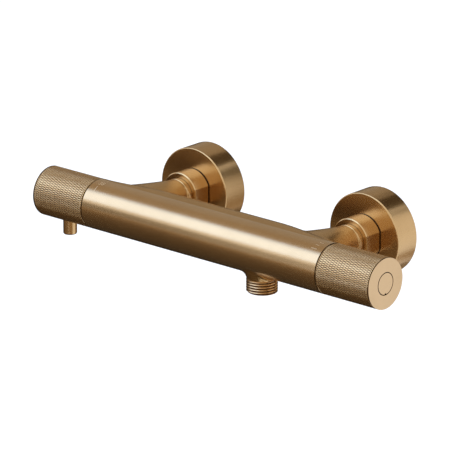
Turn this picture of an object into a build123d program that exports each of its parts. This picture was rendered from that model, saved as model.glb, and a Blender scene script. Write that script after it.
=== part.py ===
"""Wall-mounted shower mixer bar with temperature control, 150 mm between its inlets.

The origin is on the wall, midway between the two inlets, at the height of the bar.
X runs along the bar, +Y points into the wall and +Z points up. Sizes are in millimetres.
The hot supply and the temperature handle are on the left, the cold supply and the flow
handle on the right, as a bather sees them.
"""

import os
from math import asin, cos, degrees, pi, radians, tan

from build123d import *

# The bar and its place on the wall
inlet_spacing = 150.0
bar_standoff = 84.0
bar_radius = 17.1
body_length = 205.0
rear_swell = 7.0
swell_taper = 56.0
seam_swell = 0.2
bore_gap = 0.05
turning_gap = 0.5
edge_break = 0.4

# Necks of the body that carry the two handles
neck_radius = 14.4
neck_length = 6.0

# Rear stubs of the body
stub_radius = 11.6
stub_seam_depth = 37.0
stub_flare_depth = 38.0
stub_flare_width = 18.0
stub_flare_height = 5.0
stub_flare_ease = 1.35
stub_flare_rise = 1.15
stub_flare_blend = 10.0
seam_gap = 0.1
seam_chamfer = 0.3
stub_thread_radius = 9.4
stub_thread_length = 10.0
hot_way_radius = 6.5
cold_way_radius = 3.6
cold_way_offset = 17.5
cold_port_radius = 3.4
way_overrun = 1.0
cold_port_x = -57.0

# Cartridge and headwork bores
cartridge_radius = 12.0
cartridge_inner_end = 46.0
mouth_radius = 13.0
mouth_depth = 11.5
mixed_way_radius = 7.0
headwork_radius = 10.5
headwork_clearance = 0.1
headwork_lead = 13.5
headwork_thread_radius = 11.5
headwork_thread_length = 12.5

# Hose outlet under the bar
outlet_x = 43.0
outlet_thread_radius = 10.4775
outlet_boss_radius = 10.0
outlet_boss_bottom = 19.5
outlet_boss_taper = 20.0
outlet_boss_flare = 6.0
outlet_thread_length = 9.0
outlet_thread_chamfer = 0.8
outlet_spigot_radius = 8.8
outlet_spigot_length = 6.5
outlet_bore_radius = 5.6
outlet_key_size = 12.0
outlet_key_depth = 5.0

# Union nut, escutcheon and eccentric union at each inlet
nut_radius = 15.2
nut_flats = 28.0
nut_front_depth = 33.1
nut_lip = 2.8
nut_chamfer = 0.6
nut_thread_radius = 12.8
nut_collar_gap = 0.2
thread_gap = 0.1
escutcheon_radius = 29.3
escutcheon_depth = 19.3
escutcheon_wall = 1.5
escutcheon_edge = 0.8
escutcheon_neck_wall = 1.8
escutcheon_neck_length = 4.5
escutcheon_back_gap = 0.3
wall_seal_width = 2.4
wall_seal_depth = 1.5
connector_flange_radius = 12.4
connector_flange_thickness = 3.0
connector_bore_radius = 7.4
union_washer_thickness = 2.0
union_washer_bore = 7.0
union_bore_radius = 8.2
union_thread_end_depth = 12.0
union_boss_radius = 13.6
union_boss_end_depth = 1.0
wall_thread_radius = 10.4775
wall_thread_length = 15.0
wall_thread_bore = 7.0
eccentricity = 5.0

# Strainer and non-return valve in each connector
strainer_rim_radius = 8.0
strainer_rim_thickness = 0.6
strainer_cup_radius = 6.0
strainer_cup_depth = 3.5
strainer_wall = 0.5
strainer_clearance = 1.3
check_end_clearance = 2.0
check_body_wall = 1.2
check_seat_radius = 4.6
check_seat_thickness = 1.5
check_poppet_radius = 5.3
check_poppet_thickness = 1.4
check_nose_radius = 4.3
check_nose_taper = 15.0
check_stem_radius = 1.2
check_spider_thickness = 1.2
check_spider_ports = 3
check_spider_port_radius = 1.7
check_spring_radius = 2.6
check_spring_wire = 0.6
check_spring_turns = 3.0

# Temperature cartridge
cartridge_flange_thickness = 2.5
cartridge_bore_radius = 9.0
cartridge_groove_depth = 1.6
running_gap = 0.05
hot_groove = (-84.5, -69.0)
cold_groove = (-64.5, -54.0)
hot_window = (-76.0, -71.0)
cold_window = (-63.5, -58.5)
window_width = 7.0
window_count = 4
ring_places = (-88.0, -66.8, -50.0)
ring_section = 0.95
ring_side_gap = 0.1
nose_radius = 6.9
nose_reach = 3.4
spindle_radius = 4.0
spindle_collar_radius = 6.4
spindle_collar_thickness = 2.0
spindle_thread_length = 11.0
spindle_hole_depth = 11.0
sleeve_radius = 7.9
sleeve_gap = 0.1
sleeve_length = 12.0
sleeve_back = 5.0
sleeve_cup_radius = 6.4
sleeve_start = 4.4
sleeve_key_width = 2.0
sleeve_key_height = 0.9
slide_bore_length = 30.0
slide_length = 12.0
slide_x = -66.5
slide_wall = 1.6
slide_web = 2.0
slide_port_inner = 4.6
slide_port_outer = 7.0
slide_port_angle = 60.0
element_radius = 4.2
element_stem_radius = 3.4
element_stem_length = 9.0
element_head_radius = 5.6
element_head_thickness = 1.5
overtravel_length = 6.4
outlet_lip = 2.0
outlet_lip_radius = 4.8
spring_wire = 1.1
return_spring_radius = 5.6
return_spring_turns = 4.0
overtravel_spring_radius = 4.8
overtravel_spring_turns = 4.0
hex_across_flats = 24.0
hex_thickness = 4.0

# Stop ring on the cartridge nose, met by the tongue of the stop button
stop_ring_thickness = 1.5
stop_ring_radius = 14.2
stop_lug_inner = 12.1
stop_lug_length = 3.0
stop_lug_angle = 16.0
fixed_lug_inner = 9.0
cold_travel = 200.0
hot_override = 60.0
stop_play = 0.6

# Handles
handle_length = 44.1
handle_wall = 2.0
handle_end_wall = 3.5
cap_radius = 7.2
cap_thickness = 2.4
cap_notch_radius = 0.85
cap_ring_gap = 0.35
cap_gap = 0.1
screw_way_radius = 5.2
hub_radius = 7.4
hub_flange_thickness = 3.0
hub_length = 19.0
hub_web = 1.8
spline_count = 12
spline_width = 0.9
spline_depth = 0.4
spline_length = 16.0
screw_head_radius = 3.5
screw_head_height = 2.6
screw_radius = 1.95
screw_length = 10.0
screw_key_size = 2.5
screw_key_depth = 1.4

# Stop button under the temperature handle
button_x = -129.0
button_radius = 4.7
button_reach = 26.7
button_edge = 0.8
button_gap = 0.1
button_flange_radius = 5.7
button_flange_thickness = 1.0
button_spring_pocket = 6.6
button_seat = 1.8
tongue_width = 4.0
tongue_thickness = 1.4
button_spring_radius = 3.0
button_spring_wire = 0.7
button_spring_turns = 2.5

# Ceramic headwork
disc_radius = 7.5
disc_thickness = 3.0
disc_gap = 0.05
disc_port_inner = 2.0
disc_port_outer = 6.0
disc_port_angle = 70.0
disc_clearance = 0.05
seat_seal_length = 2.5
seat_seal_proud = 0.6
seat_seal_bore = 5.5
driver_thickness = 4.0
driver_radius = 7.0
driver_width = 6.0
driver_tab_size = 2.6
driver_tab_place = 4.8
driver_tab_depth = 1.0
flow_collar_radius = 5.5
cage_length = 16.5
headwork_window_angle = 75.0
headwork_window_length = 7.0
headwork_chamber_radius = 11.8
headwork_chamber_length = 9.5
headwork_ring_places = (56.0, 88.0)
clip_radius = 5.4
clip_thickness = 0.8
clip_groove = 0.5
clip_opening = 5.0

# Worked out from the sizes above
full_turn = 360
axis_y = -bar_standoff
inlet_x = inlet_spacing / 2
seam_x = body_length / 2
neck_x = seam_x + neck_length
stub_y = -stub_seam_depth
cold_way_y = axis_y + cold_way_offset
handle_start = seam_x + turning_gap
handle_end = handle_start + handle_length
headwork_inner_end = outlet_x - headwork_lead
sides = {"hot": -1, "cold": 1}
BAR = Axis(origin=(0, axis_y, 0), direction=(1, 0, 0))
PROFILE = Plane(origin=(0, axis_y, 0), x_dir=(1, 0, 0), z_dir=(0, -1, 0))

os.makedirs("parts", exist_ok=True)


def save(piece, name):
    """Label a finished piece and write its STEP file."""
    piece.label = name
    export_step(piece, f"parts/{name}.step")


def across(x):
    """Plane square to the bar at x, facing +X, with its own x along +Y."""
    return Plane(origin=(x, axis_y, 0), x_dir=(0, 1, 0), z_dir=(1, 0, 0))


def inlet(side, depth):
    """Plane square to an inlet, a depth in front of the wall, facing the wall."""
    return Plane(origin=(side * inlet_x, -depth, 0), x_dir=(1, 0, 0), z_dir=(0, 1, 0))


def below(x, drop):
    """Level plane under the bar at x, a drop below the bar's axis, facing down."""
    return Plane(origin=(x, axis_y, -drop), x_dir=(1, 0, 0), z_dir=(0, 0, -1))


def helix_spring(start, direction, radius, wire, length, turns):
    """Open coil spring of square wire that starts and ends inside the given length."""
    rise = length - wire
    first = Vector(*start) + Vector(*direction) * wire / 2
    with BuildPart() as coil:
        with BuildLine() as path:
            Helix(pitch=rise / turns, height=rise, radius=radius, center=first, direction=direction)
        outward = (path.line @ 0) - first
        with BuildSketch(Plane(origin=path.line @ 0, x_dir=outward, z_dir=path.line % 0)):
            Rectangle(wire, wire)
        sweep(path=path.line, is_frenet=True)
    return coil.part


# Body casting: a bar that swells to the rear, where the cold way runs beside the bores
def swell_at(x):
    """Rearward swell of the bar's section, eased from the seam to its full size."""
    share = min(1.0, (seam_x - abs(x)) / swell_taper)
    return seam_swell + (rear_swell - seam_swell) * (1 - cos(pi * share)) / 2


def bar_section(x):
    """Section of the bar at x: round in front, drawn out to the rear by the swell."""
    swell = swell_at(x)
    with BuildSketch(across(x)) as section:
        with BuildLine():
            Line((0, bar_radius), (swell, bar_radius))
            ThreePointArc((swell, bar_radius), (swell + bar_radius, 0), (swell, -bar_radius))
            Line((swell, -bar_radius), (0, -bar_radius))
            ThreePointArc((0, -bar_radius), (-bar_radius, 0), (0, bar_radius))
        make_face()
    return section.sketch


taper_steps = 4
taper_places = [seam_x - swell_taper * step / taper_steps for step in range(taper_steps + 1)]



def flare_section(side, share):
    """Section of a stub's flare, at a share of the way from its start down to its root."""
    depth = stub_flare_depth + (flare_root_depth - stub_flare_depth) * share
    width = stub_radius + stub_flare_width * share**stub_flare_ease
    height = stub_radius + stub_flare_height * share**stub_flare_rise
    with BuildSketch(inlet(side, depth)) as section:
        Ellipse(width, height)
    return section.sketch


flare_steps = 6
flare_root_depth = bar_standoff - swell_at(inlet_x)
boss_root = bar_radius / 2
boss_height = outlet_boss_bottom - boss_root
boss_root_radius = outlet_boss_radius + boss_height * tan(radians(outlet_boss_taper))
with BuildPart() as valve_body:
    extrude(bar_section(taper_places[-1]), amount=-2 * taper_places[-1])
    for end in (-1, 1):
        loft(sections=[bar_section(end * place) for place in taper_places])
    for side in sides.values():
        with BuildSketch(inlet(side, stub_seam_depth)):
            Circle(stub_radius)
        extrude(amount=stub_seam_depth - stub_flare_depth)
        loft(sections=[flare_section(side, step / flare_steps) for step in range(flare_steps + 1)])
    flare_creases = valve_body.edges().filter_by(
        lambda edge: min(edge.bounding_box().size) > stub_radius
    )
    fillet(flare_creases, radius=stub_flare_blend)
    with BuildSketch(below(outlet_x, boss_root)):
        Circle(boss_root_radius)
    extrude(amount=boss_height, taper=outlet_boss_taper)
    boss_wall = valve_body.faces().filter_by(GeomType.CONE).sort_by(Axis.Z)[0]
    boss_edges = boss_wall.edges().filter_by(
        lambda edge: edge.bounding_box().min.Z > -bar_radius - edge_break
        and edge.bounding_box().size.X > outlet_boss_radius
    )
    fillet(boss_edges, radius=outlet_boss_flare)
    for end in (-1, 1):
        with BuildSketch(across(end * seam_x)):
            Circle(neck_radius)
        extrude(amount=end * neck_length)
    # Mixed way from the cartridge to the headwork
    with BuildSketch(across(-cartridge_inner_end - edge_break)):
        Circle(mixed_way_radius)
    extrude(amount=cartridge_inner_end + headwork_inner_end + 2 * edge_break, mode=Mode.SUBTRACT)
    # Cartridge bore and its threaded mouth
    with BuildSketch(across(-neck_x)):
        Circle(cartridge_radius + bore_gap)
    extrude(amount=neck_x - cartridge_inner_end, mode=Mode.SUBTRACT)
    with BuildSketch(across(-neck_x)):
        Circle(mouth_radius + bore_gap)
    extrude(amount=mouth_depth, mode=Mode.SUBTRACT)
    # Headwork bore, its outlet chamber and its threaded mouth
    with BuildSketch(across(headwork_inner_end)):
        Circle(headwork_radius + headwork_clearance)
    extrude(amount=neck_x - headwork_inner_end, mode=Mode.SUBTRACT)
    with BuildSketch(across(outlet_x)):
        Circle(headwork_chamber_radius)
    extrude(amount=headwork_chamber_length / 2, both=True, mode=Mode.SUBTRACT)
    with BuildSketch(across(neck_x - headwork_thread_length)):
        Circle(headwork_thread_radius + bore_gap)
    extrude(amount=headwork_thread_length, mode=Mode.SUBTRACT)
    # Hot way straight into the cartridge, cold way along the back of the bar
    with BuildSketch(inlet(-1, stub_seam_depth)):
        Circle(hot_way_radius)
    extrude(amount=-(bar_standoff - stub_seam_depth), mode=Mode.SUBTRACT)
    with BuildSketch(inlet(1, stub_seam_depth)):
        Circle(hot_way_radius)
    extrude(amount=cold_way_y - cold_way_radius - way_overrun - stub_y, mode=Mode.SUBTRACT)
    for side in sides.values():
        with BuildSketch(inlet(side, stub_seam_depth)):
            Circle(stub_thread_radius + bore_gap)
        extrude(amount=-stub_thread_length, mode=Mode.SUBTRACT)
    cold_way_end = cold_port_x - cold_port_radius - way_overrun
    with BuildSketch(Plane(origin=(cold_way_end, cold_way_y, 0), x_dir=(0, 1, 0), z_dir=(1, 0, 0))):
        Circle(cold_way_radius)
    extrude(amount=inlet_x - cold_way_end, mode=Mode.SUBTRACT)
    with BuildSketch(Plane(origin=(cold_port_x, cold_way_y, 0), x_dir=(1, 0, 0), z_dir=(0, -1, 0))):
        Circle(cold_port_radius)
    extrude(amount=cold_way_offset, mode=Mode.SUBTRACT)
    stub_rims = valve_body.faces().filter_by(Axis.Y).group_by(Axis.Y)[-1]
    for stub_rim in stub_rims:
        chamfer(stub_rim.outer_wire().edges(), length=seam_chamfer)
    # Outlet way and the socket for the nipple
    with BuildSketch(below(outlet_x, 0)):
        Circle(outlet_bore_radius)
    extrude(amount=outlet_boss_bottom, mode=Mode.SUBTRACT)
    with BuildSketch(below(outlet_x, outlet_boss_bottom)):
        Circle(outlet_spigot_radius + bore_gap)
    extrude(amount=-outlet_spigot_length, mode=Mode.SUBTRACT)
save(valve_body.part, "valve_body")

# Outlet nipple: threaded for a hose, screwed in by a hexagon key
with BuildPart() as outlet_nipple:
    with BuildSketch(below(outlet_x, outlet_boss_bottom)):
        Circle(outlet_thread_radius)
    extrude(amount=outlet_thread_length)
    chamfer(outlet_nipple.edges().sort_by(Axis.Z)[0], length=outlet_thread_chamfer)
    with BuildSketch(below(outlet_x, outlet_boss_bottom)):
        Circle(outlet_spigot_radius)
    extrude(amount=-outlet_spigot_length)
    with BuildSketch(below(outlet_x, outlet_boss_bottom - outlet_spigot_length)):
        Circle(outlet_bore_radius)
    extrude(amount=outlet_spigot_length + outlet_thread_length, mode=Mode.SUBTRACT)
    with BuildSketch(below(outlet_x, outlet_boss_bottom + outlet_thread_length)):
        RegularPolygon(radius=outlet_key_size / 2, side_count=6, major_radius=False)
    extrude(amount=-outlet_key_depth, mode=Mode.SUBTRACT)
save(outlet_nipple.part, "outlet_nipple")

# Depths in front of the wall, from the nut back to the eccentric union
lip_back_depth = nut_front_depth - nut_lip
flange_front_depth = lip_back_depth - thread_gap
flange_back_depth = flange_front_depth - connector_flange_thickness
union_end_depth = flange_back_depth - union_washer_thickness
nut_back_depth = escutcheon_depth + escutcheon_back_gap
check_body_depth = flange_back_depth + strainer_cup_depth + strainer_clearance
check_end_depth = stub_seam_depth + stub_thread_length - check_end_clearance
check_body_length = check_end_depth - check_body_depth
seat_face_depth = check_body_depth + check_seat_thickness
poppet_depth = seat_face_depth + bore_gap
spider_depth = check_end_depth - check_spider_thickness
check_bore_radius = connector_bore_radius - bore_gap - check_body_wall

for name, side in sides.items():
    # Escutcheon: a turned cup with a threaded neck behind its front
    with BuildPart() as escutcheon:
        with BuildSketch(inlet(side, escutcheon_depth)):
            Circle(escutcheon_radius)
        extrude(amount=escutcheon_depth - escutcheon_back_gap)
        front_edge = escutcheon.edges().sort_by(Axis.Y)[0]
        fillet(front_edge, radius=escutcheon_edge)
        with BuildSketch(inlet(side, escutcheon_depth - escutcheon_wall)):
            Circle(escutcheon_radius - escutcheon_wall)
            Circle(nut_thread_radius + escutcheon_neck_wall, mode=Mode.SUBTRACT)
        extrude(amount=escutcheon_depth, mode=Mode.SUBTRACT)
        with BuildSketch(inlet(side, escutcheon_depth - escutcheon_wall - escutcheon_neck_length)):
            Circle(escutcheon_radius - escutcheon_wall)
        extrude(amount=escutcheon_depth, mode=Mode.SUBTRACT)
        with BuildSketch(inlet(side, escutcheon_depth)):
            Circle(nut_thread_radius)
        extrude(amount=escutcheon_depth, mode=Mode.SUBTRACT)
    save(escutcheon.part, f"{name}_escutcheon")

    # Foam ring that seals the escutcheon against the tiles
    seal_outer = escutcheon_radius - escutcheon_wall - bore_gap
    with BuildPart() as wall_seal:
        with BuildSketch(inlet(side, 0)):
            Circle(seal_outer)
            Circle(seal_outer - wall_seal_width, mode=Mode.SUBTRACT)
        extrude(amount=-wall_seal_depth)
    save(wall_seal.part, f"{name}_wall_seal")

    # Union nut: round with two flats for a spanner, its lip behind the connector's flange
    with BuildPart() as union_nut:
        with BuildSketch(inlet(side, nut_front_depth)):
            Circle(nut_radius)
            Rectangle(nut_flats, 2 * nut_radius, mode=Mode.INTERSECT)
        extrude(amount=nut_front_depth - nut_back_depth)
        with BuildSketch(inlet(side, nut_front_depth)):
            Circle(stub_radius + nut_collar_gap)
        extrude(amount=nut_lip, mode=Mode.SUBTRACT)
        with BuildSketch(inlet(side, lip_back_depth)):
            Circle(nut_thread_radius)
        extrude(amount=lip_back_depth, mode=Mode.SUBTRACT)
        front_rim = union_nut.faces().sort_by(Axis.Y)[0].outer_wire().edges()
        chamfer(front_rim, length=nut_chamfer)
    save(union_nut.part, f"{name}_union_nut")

    # Connector screwed into the body's stub, which the nut draws to the union
    with BuildPart() as connector:
        with BuildSketch(inlet(side, flange_front_depth)):
            Circle(connector_flange_radius)
        extrude(amount=connector_flange_thickness)
        with BuildSketch(inlet(side, stub_seam_depth - seam_gap)):
            Circle(stub_radius)
        extrude(amount=stub_seam_depth - seam_gap - flange_front_depth)
        chamfer(connector.edges().sort_by(Axis.Y)[0], length=seam_chamfer)
        with BuildSketch(inlet(side, stub_seam_depth + stub_thread_length)):
            Circle(stub_thread_radius)
        extrude(amount=stub_thread_length + seam_gap)
        with BuildSketch(inlet(side, stub_seam_depth + stub_thread_length)):
            Circle(connector_bore_radius)
        extrude(amount=stub_seam_depth + stub_thread_length, mode=Mode.SUBTRACT)
        with BuildSketch(inlet(side, flange_back_depth)):
            Circle(strainer_rim_radius + bore_gap)
        extrude(amount=-strainer_rim_thickness, mode=Mode.SUBTRACT)
    save(connector.part, f"{name}_connector")

    # Fibre washer squeezed between the flange and the union's end
    with BuildPart() as union_washer:
        with BuildSketch(inlet(side, flange_back_depth)):
            Circle(connector_flange_radius)
            Circle(union_washer_bore, mode=Mode.SUBTRACT)
        extrude(amount=union_washer_thickness)
    save(union_washer.part, f"{name}_union_washer")

    # Eccentric union: its wall thread stands off centre, so turning it sets the spacing
    with BuildPart() as eccentric_union:
        with BuildSketch(inlet(side, union_end_depth)):
            Circle(nut_thread_radius - thread_gap)
        extrude(amount=union_end_depth - union_thread_end_depth)
        with BuildSketch(inlet(side, union_thread_end_depth)):
            with Locations((0, -eccentricity / 2)):
                Circle(union_boss_radius)
        extrude(amount=union_thread_end_depth - union_boss_end_depth)
        with BuildSketch(inlet(side, union_boss_end_depth)):
            with Locations((0, -eccentricity)):
                Circle(wall_thread_radius)
        extrude(amount=wall_thread_length)
        chamfer(eccentric_union.edges().sort_by(Axis.Y)[-1], length=edge_break)
        with BuildSketch(inlet(side, union_end_depth)):
            Circle(union_bore_radius)
        extrude(amount=union_end_depth - union_thread_end_depth / 2, mode=Mode.SUBTRACT)
        with BuildSketch(inlet(side, union_thread_end_depth * 2 / 3)):
            with Locations((0, -eccentricity)):
                Circle(wall_thread_bore)
        extrude(amount=union_thread_end_depth + wall_thread_length, mode=Mode.SUBTRACT)
    save(eccentric_union.part, f"{name}_eccentric_union")

    # Strainer: a mesh cup whose rim the washer holds
    with BuildPart() as strainer:
        with BuildSketch(inlet(side, flange_back_depth)):
            Circle(strainer_rim_radius)
        extrude(amount=-strainer_rim_thickness)
        with BuildSketch(inlet(side, flange_back_depth)):
            Circle(strainer_cup_radius)
        extrude(amount=-strainer_cup_depth)
        with BuildSketch(inlet(side, flange_back_depth)):
            Circle(strainer_cup_radius - strainer_wall)
        extrude(amount=strainer_wall - strainer_cup_depth, mode=Mode.SUBTRACT)
    save(strainer.part, f"{name}_strainer")

    # Non-return valve: a barrel with a seat and a spider, a sprung poppet between them
    with BuildPart() as check_barrel:
        with BuildSketch(inlet(side, check_body_depth)):
            Circle(connector_bore_radius - bore_gap)
        extrude(amount=-check_body_length)
        with BuildSketch(inlet(side, seat_face_depth)):
            Circle(check_bore_radius)
        extrude(amount=seat_face_depth - spider_depth, mode=Mode.SUBTRACT)
        with BuildSketch(inlet(side, check_body_depth)):
            Circle(check_seat_radius)
        extrude(amount=-check_seat_thickness, mode=Mode.SUBTRACT)
        with BuildSketch(inlet(side, spider_depth)):
            Circle(check_stem_radius + bore_gap)
            with PolarLocations((check_bore_radius + check_stem_radius) / 2, check_spider_ports):
                Circle(check_spider_port_radius)
        extrude(amount=-check_spider_thickness, mode=Mode.SUBTRACT)
    save(check_barrel.part, f"{name}_check_valve_barrel")

    stem_length = spider_depth + check_spider_thickness - poppet_depth
    with BuildPart() as check_poppet:
        with BuildSketch(inlet(side, poppet_depth)):
            Circle(check_poppet_radius)
        extrude(amount=-check_poppet_thickness)
        with BuildSketch(inlet(side, poppet_depth)):
            Circle(check_stem_radius)
        extrude(amount=-stem_length)
        with BuildSketch(inlet(side, poppet_depth)):
            Circle(check_nose_radius)
        extrude(amount=check_seat_thickness, taper=check_nose_taper)
    save(check_poppet.part, f"{name}_check_valve_poppet")

    check_spring_length = spider_depth - poppet_depth - check_poppet_thickness
    check_spring = helix_spring(
        (side * inlet_x, -poppet_depth - check_poppet_thickness, 0),
        (0, -1, 0),
        check_spring_radius,
        check_spring_wire,
        check_spring_length,
        check_spring_turns,
    )
    save(check_spring, f"{name}_check_valve_spring")

# Handles and what holds each of them on its spindle, alike at both ends
screw_seat_x = handle_end - cap_thickness - cap_gap - screw_head_height
spindle_end = screw_seat_x - hub_web - cap_gap
handle_bore = bar_radius - handle_wall
hub_end = handle_end - handle_end_wall
nut_face_x = neck_x + hex_thickness
nose_end_x = nut_face_x + nose_reach
clip_x = nose_end_x + cap_gap
for name, end in (("temperature", -1), ("flow", 1)):
    with BuildPart() as handle:
        with BuildSketch(across(end * handle_start)):
            Circle(bar_radius)
        extrude(amount=end * handle_length)
        chamfer(handle.edges().filter_by(GeomType.CIRCLE), length=edge_break)
        with BuildSketch(across(end * handle_start)):
            Circle(handle_bore)
        extrude(amount=end * (handle_length - handle_end_wall), mode=Mode.SUBTRACT)
        with BuildSketch(across(end * handle_end)):
            Circle(cap_radius + cap_ring_gap)
        extrude(amount=-end * (cap_thickness + cap_gap), mode=Mode.SUBTRACT)
        with BuildSketch(across(end * handle_end)):
            Circle(screw_way_radius)
        extrude(amount=-end * handle_end_wall, mode=Mode.SUBTRACT)
        if name == "temperature":
            with BuildSketch(below(button_x, 0)):
                Circle(button_radius + button_gap)
            extrude(amount=bar_radius, mode=Mode.SUBTRACT)
            with BuildSketch(below(button_x, bar_radius - button_seat)):
                Circle(button_flange_radius + button_gap)
            extrude(amount=button_seat - bar_radius, mode=Mode.SUBTRACT)
    save(handle.part, f"{name}_handle")

    # Splined hub pressed into the handle
    with BuildPart() as hub:
        with BuildSketch(across(end * hub_end)):
            Circle(handle_bore - bore_gap)
        extrude(amount=-end * hub_flange_thickness)
        with BuildSketch(across(end * hub_end)):
            Circle(hub_radius)
        extrude(amount=-end * hub_length)
        with BuildSketch(across(end * spindle_end + end * cap_gap)):
            Circle(spindle_radius + bore_gap)
            with PolarLocations(spindle_radius, spline_count):
                Rectangle(2 * (spline_depth - bore_gap), spline_width - 2 * bore_gap, mode=Mode.SUBTRACT)
        extrude(amount=-end * handle_length, mode=Mode.SUBTRACT)
        with BuildSketch(across(end * hub_end)):
            Circle(screw_radius + cap_gap)
        extrude(amount=-end * hub_length, mode=Mode.SUBTRACT)
        with BuildSketch(across(end * hub_end)):
            Circle(screw_head_radius + cap_gap)
        extrude(amount=-end * (hub_end - screw_seat_x), mode=Mode.SUBTRACT)
        if name == "temperature":
            with BuildSketch(below(button_x, button_spring_pocket)):
                Circle(button_spring_radius + button_spring_wire)
            extrude(amount=hub_radius, mode=Mode.SUBTRACT)
    save(hub.part, f"{name}_hub")

    with BuildPart() as handle_screw:
        with BuildSketch(across(end * screw_seat_x)):
            Circle(screw_head_radius)
        extrude(amount=end * screw_head_height)
        with BuildSketch(across(end * screw_seat_x)):
            Circle(screw_radius)
        extrude(amount=-end * screw_length)
        with BuildSketch(across(end * (screw_seat_x + screw_head_height))):
            RegularPolygon(radius=screw_key_size / 2, side_count=6, major_radius=False)
        extrude(amount=-end * screw_key_depth, mode=Mode.SUBTRACT)
    save(handle_screw.part, f"{name}_handle_screw")

    # Cap over the screw, with a small notch at its foot to prise it out
    with BuildPart() as cap:
        with BuildSketch(across(end * handle_end)):
            Circle(cap_radius)
            with Locations((0, -cap_radius)):
                Circle(cap_notch_radius, mode=Mode.SUBTRACT)
        extrude(amount=-end * cap_thickness)
    save(cap.part, f"{name}_handle_cap")

    # Open clip that keeps the spindle in its nose
    with BuildPart() as clip:
        with BuildSketch(across(end * clip_x)):
            Circle(clip_radius)
            Circle(spindle_radius - clip_groove + running_gap, mode=Mode.SUBTRACT)
            with Locations((clip_radius, 0)):
                Rectangle(2 * clip_radius, clip_opening, mode=Mode.SUBTRACT)
        extrude(amount=end * clip_thickness)
    save(clip.part, f"{name}_spindle_clip")

# Temperature cartridge: a windowed housing held by a hexagon nut
mouth_x = -neck_x + mouth_depth
flange_x = mouth_x - cartridge_flange_thickness
lip_x = -cartridge_inner_end - outlet_lip
slide_bore_x = lip_x - slide_bore_length
sleeve_bore_x = mouth_x - edge_break
groove_bottom = cartridge_radius - cartridge_groove_depth
ring_center_radius = cartridge_radius + bore_gap - ring_section
with BuildPart() as cartridge_housing:
    with BuildSketch(across(-cartridge_inner_end)):
        Circle(cartridge_radius)
    extrude(amount=mouth_x + cartridge_inner_end)
    with BuildSketch(across(mouth_x)):
        Circle(mouth_radius - bore_gap)
    extrude(amount=flange_x - mouth_x)
    with BuildSketch(across(flange_x)):
        Circle(nose_radius)
    extrude(amount=-nose_end_x - flange_x)
    for groove in (hot_groove, cold_groove):
        with BuildSketch(across(groove[0])):
            Circle(cartridge_radius)
            Circle(groove_bottom, mode=Mode.SUBTRACT)
        extrude(amount=groove[1] - groove[0], mode=Mode.SUBTRACT)
    for place in ring_places:
        with BuildSketch(across(place)):
            Circle(cartridge_radius)
            Circle(ring_center_radius - ring_section, mode=Mode.SUBTRACT)
        extrude(amount=ring_section + ring_side_gap, both=True, mode=Mode.SUBTRACT)
    with BuildSketch(across(-cartridge_inner_end)):
        Circle(outlet_lip_radius)
    extrude(amount=-outlet_lip, mode=Mode.SUBTRACT)
    with BuildSketch(across(lip_x)):
        Circle(cartridge_bore_radius)
    extrude(amount=-slide_bore_length, mode=Mode.SUBTRACT)
    with BuildSketch(across(slide_bore_x)):
        Circle(sleeve_radius + sleeve_gap)
        with PolarLocations(sleeve_radius, 2):
            Rectangle(2 * (sleeve_key_height + sleeve_gap), sleeve_key_width + 2 * sleeve_gap)
    extrude(amount=sleeve_bore_x - slide_bore_x, mode=Mode.SUBTRACT)
    with BuildSketch(across(sleeve_bore_x)):
        Circle(spindle_radius + running_gap)
    extrude(amount=-nose_end_x - sleeve_bore_x, mode=Mode.SUBTRACT)
    for window in (hot_window, cold_window):
        with BuildSketch(across(window[0])):
            with PolarLocations(cartridge_bore_radius, window_count):
                Rectangle(2 * cartridge_groove_depth, window_width)
        extrude(amount=window[1] - window[0], mode=Mode.SUBTRACT)
save(cartridge_housing.part, "cartridge_housing")

with BuildPart() as cartridge_rings:
    for place in ring_places:
        with BuildSketch(PROFILE):
            with Locations((place, ring_center_radius)):
                Rectangle(2 * ring_section, 2 * ring_section)
        revolve(axis=BAR)
save(cartridge_rings.part, "cartridge_rings")

with BuildPart() as retaining_nut:
    with BuildSketch(across(flange_x)):
        Circle(mouth_radius)
    extrude(amount=-neck_x - flange_x)
    with BuildSketch(across(-neck_x)):
        RegularPolygon(radius=hex_across_flats / 2, side_count=6, major_radius=False)
    extrude(amount=-hex_thickness)
    with BuildSketch(across(flange_x)):
        Circle(nose_radius + bore_gap)
    extrude(amount=-nut_face_x - flange_x, mode=Mode.SUBTRACT)
save(retaining_nut.part, "cartridge_retaining_nut")


def ring_sector(plane, inner, outer, start, size):
    """Flat sector of a ring, from a start angle through a size in degrees."""
    with BuildSketch(plane) as sector:
        with BuildLine():
            inside = CenterArc((0, 0), inner, start, size)
            outside = CenterArc((0, 0), outer, start, size)
            Line(inside @ 0, outside @ 0)
            Line(inside @ 1, outside @ 1)
        make_face()
    return sector.sketch


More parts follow.
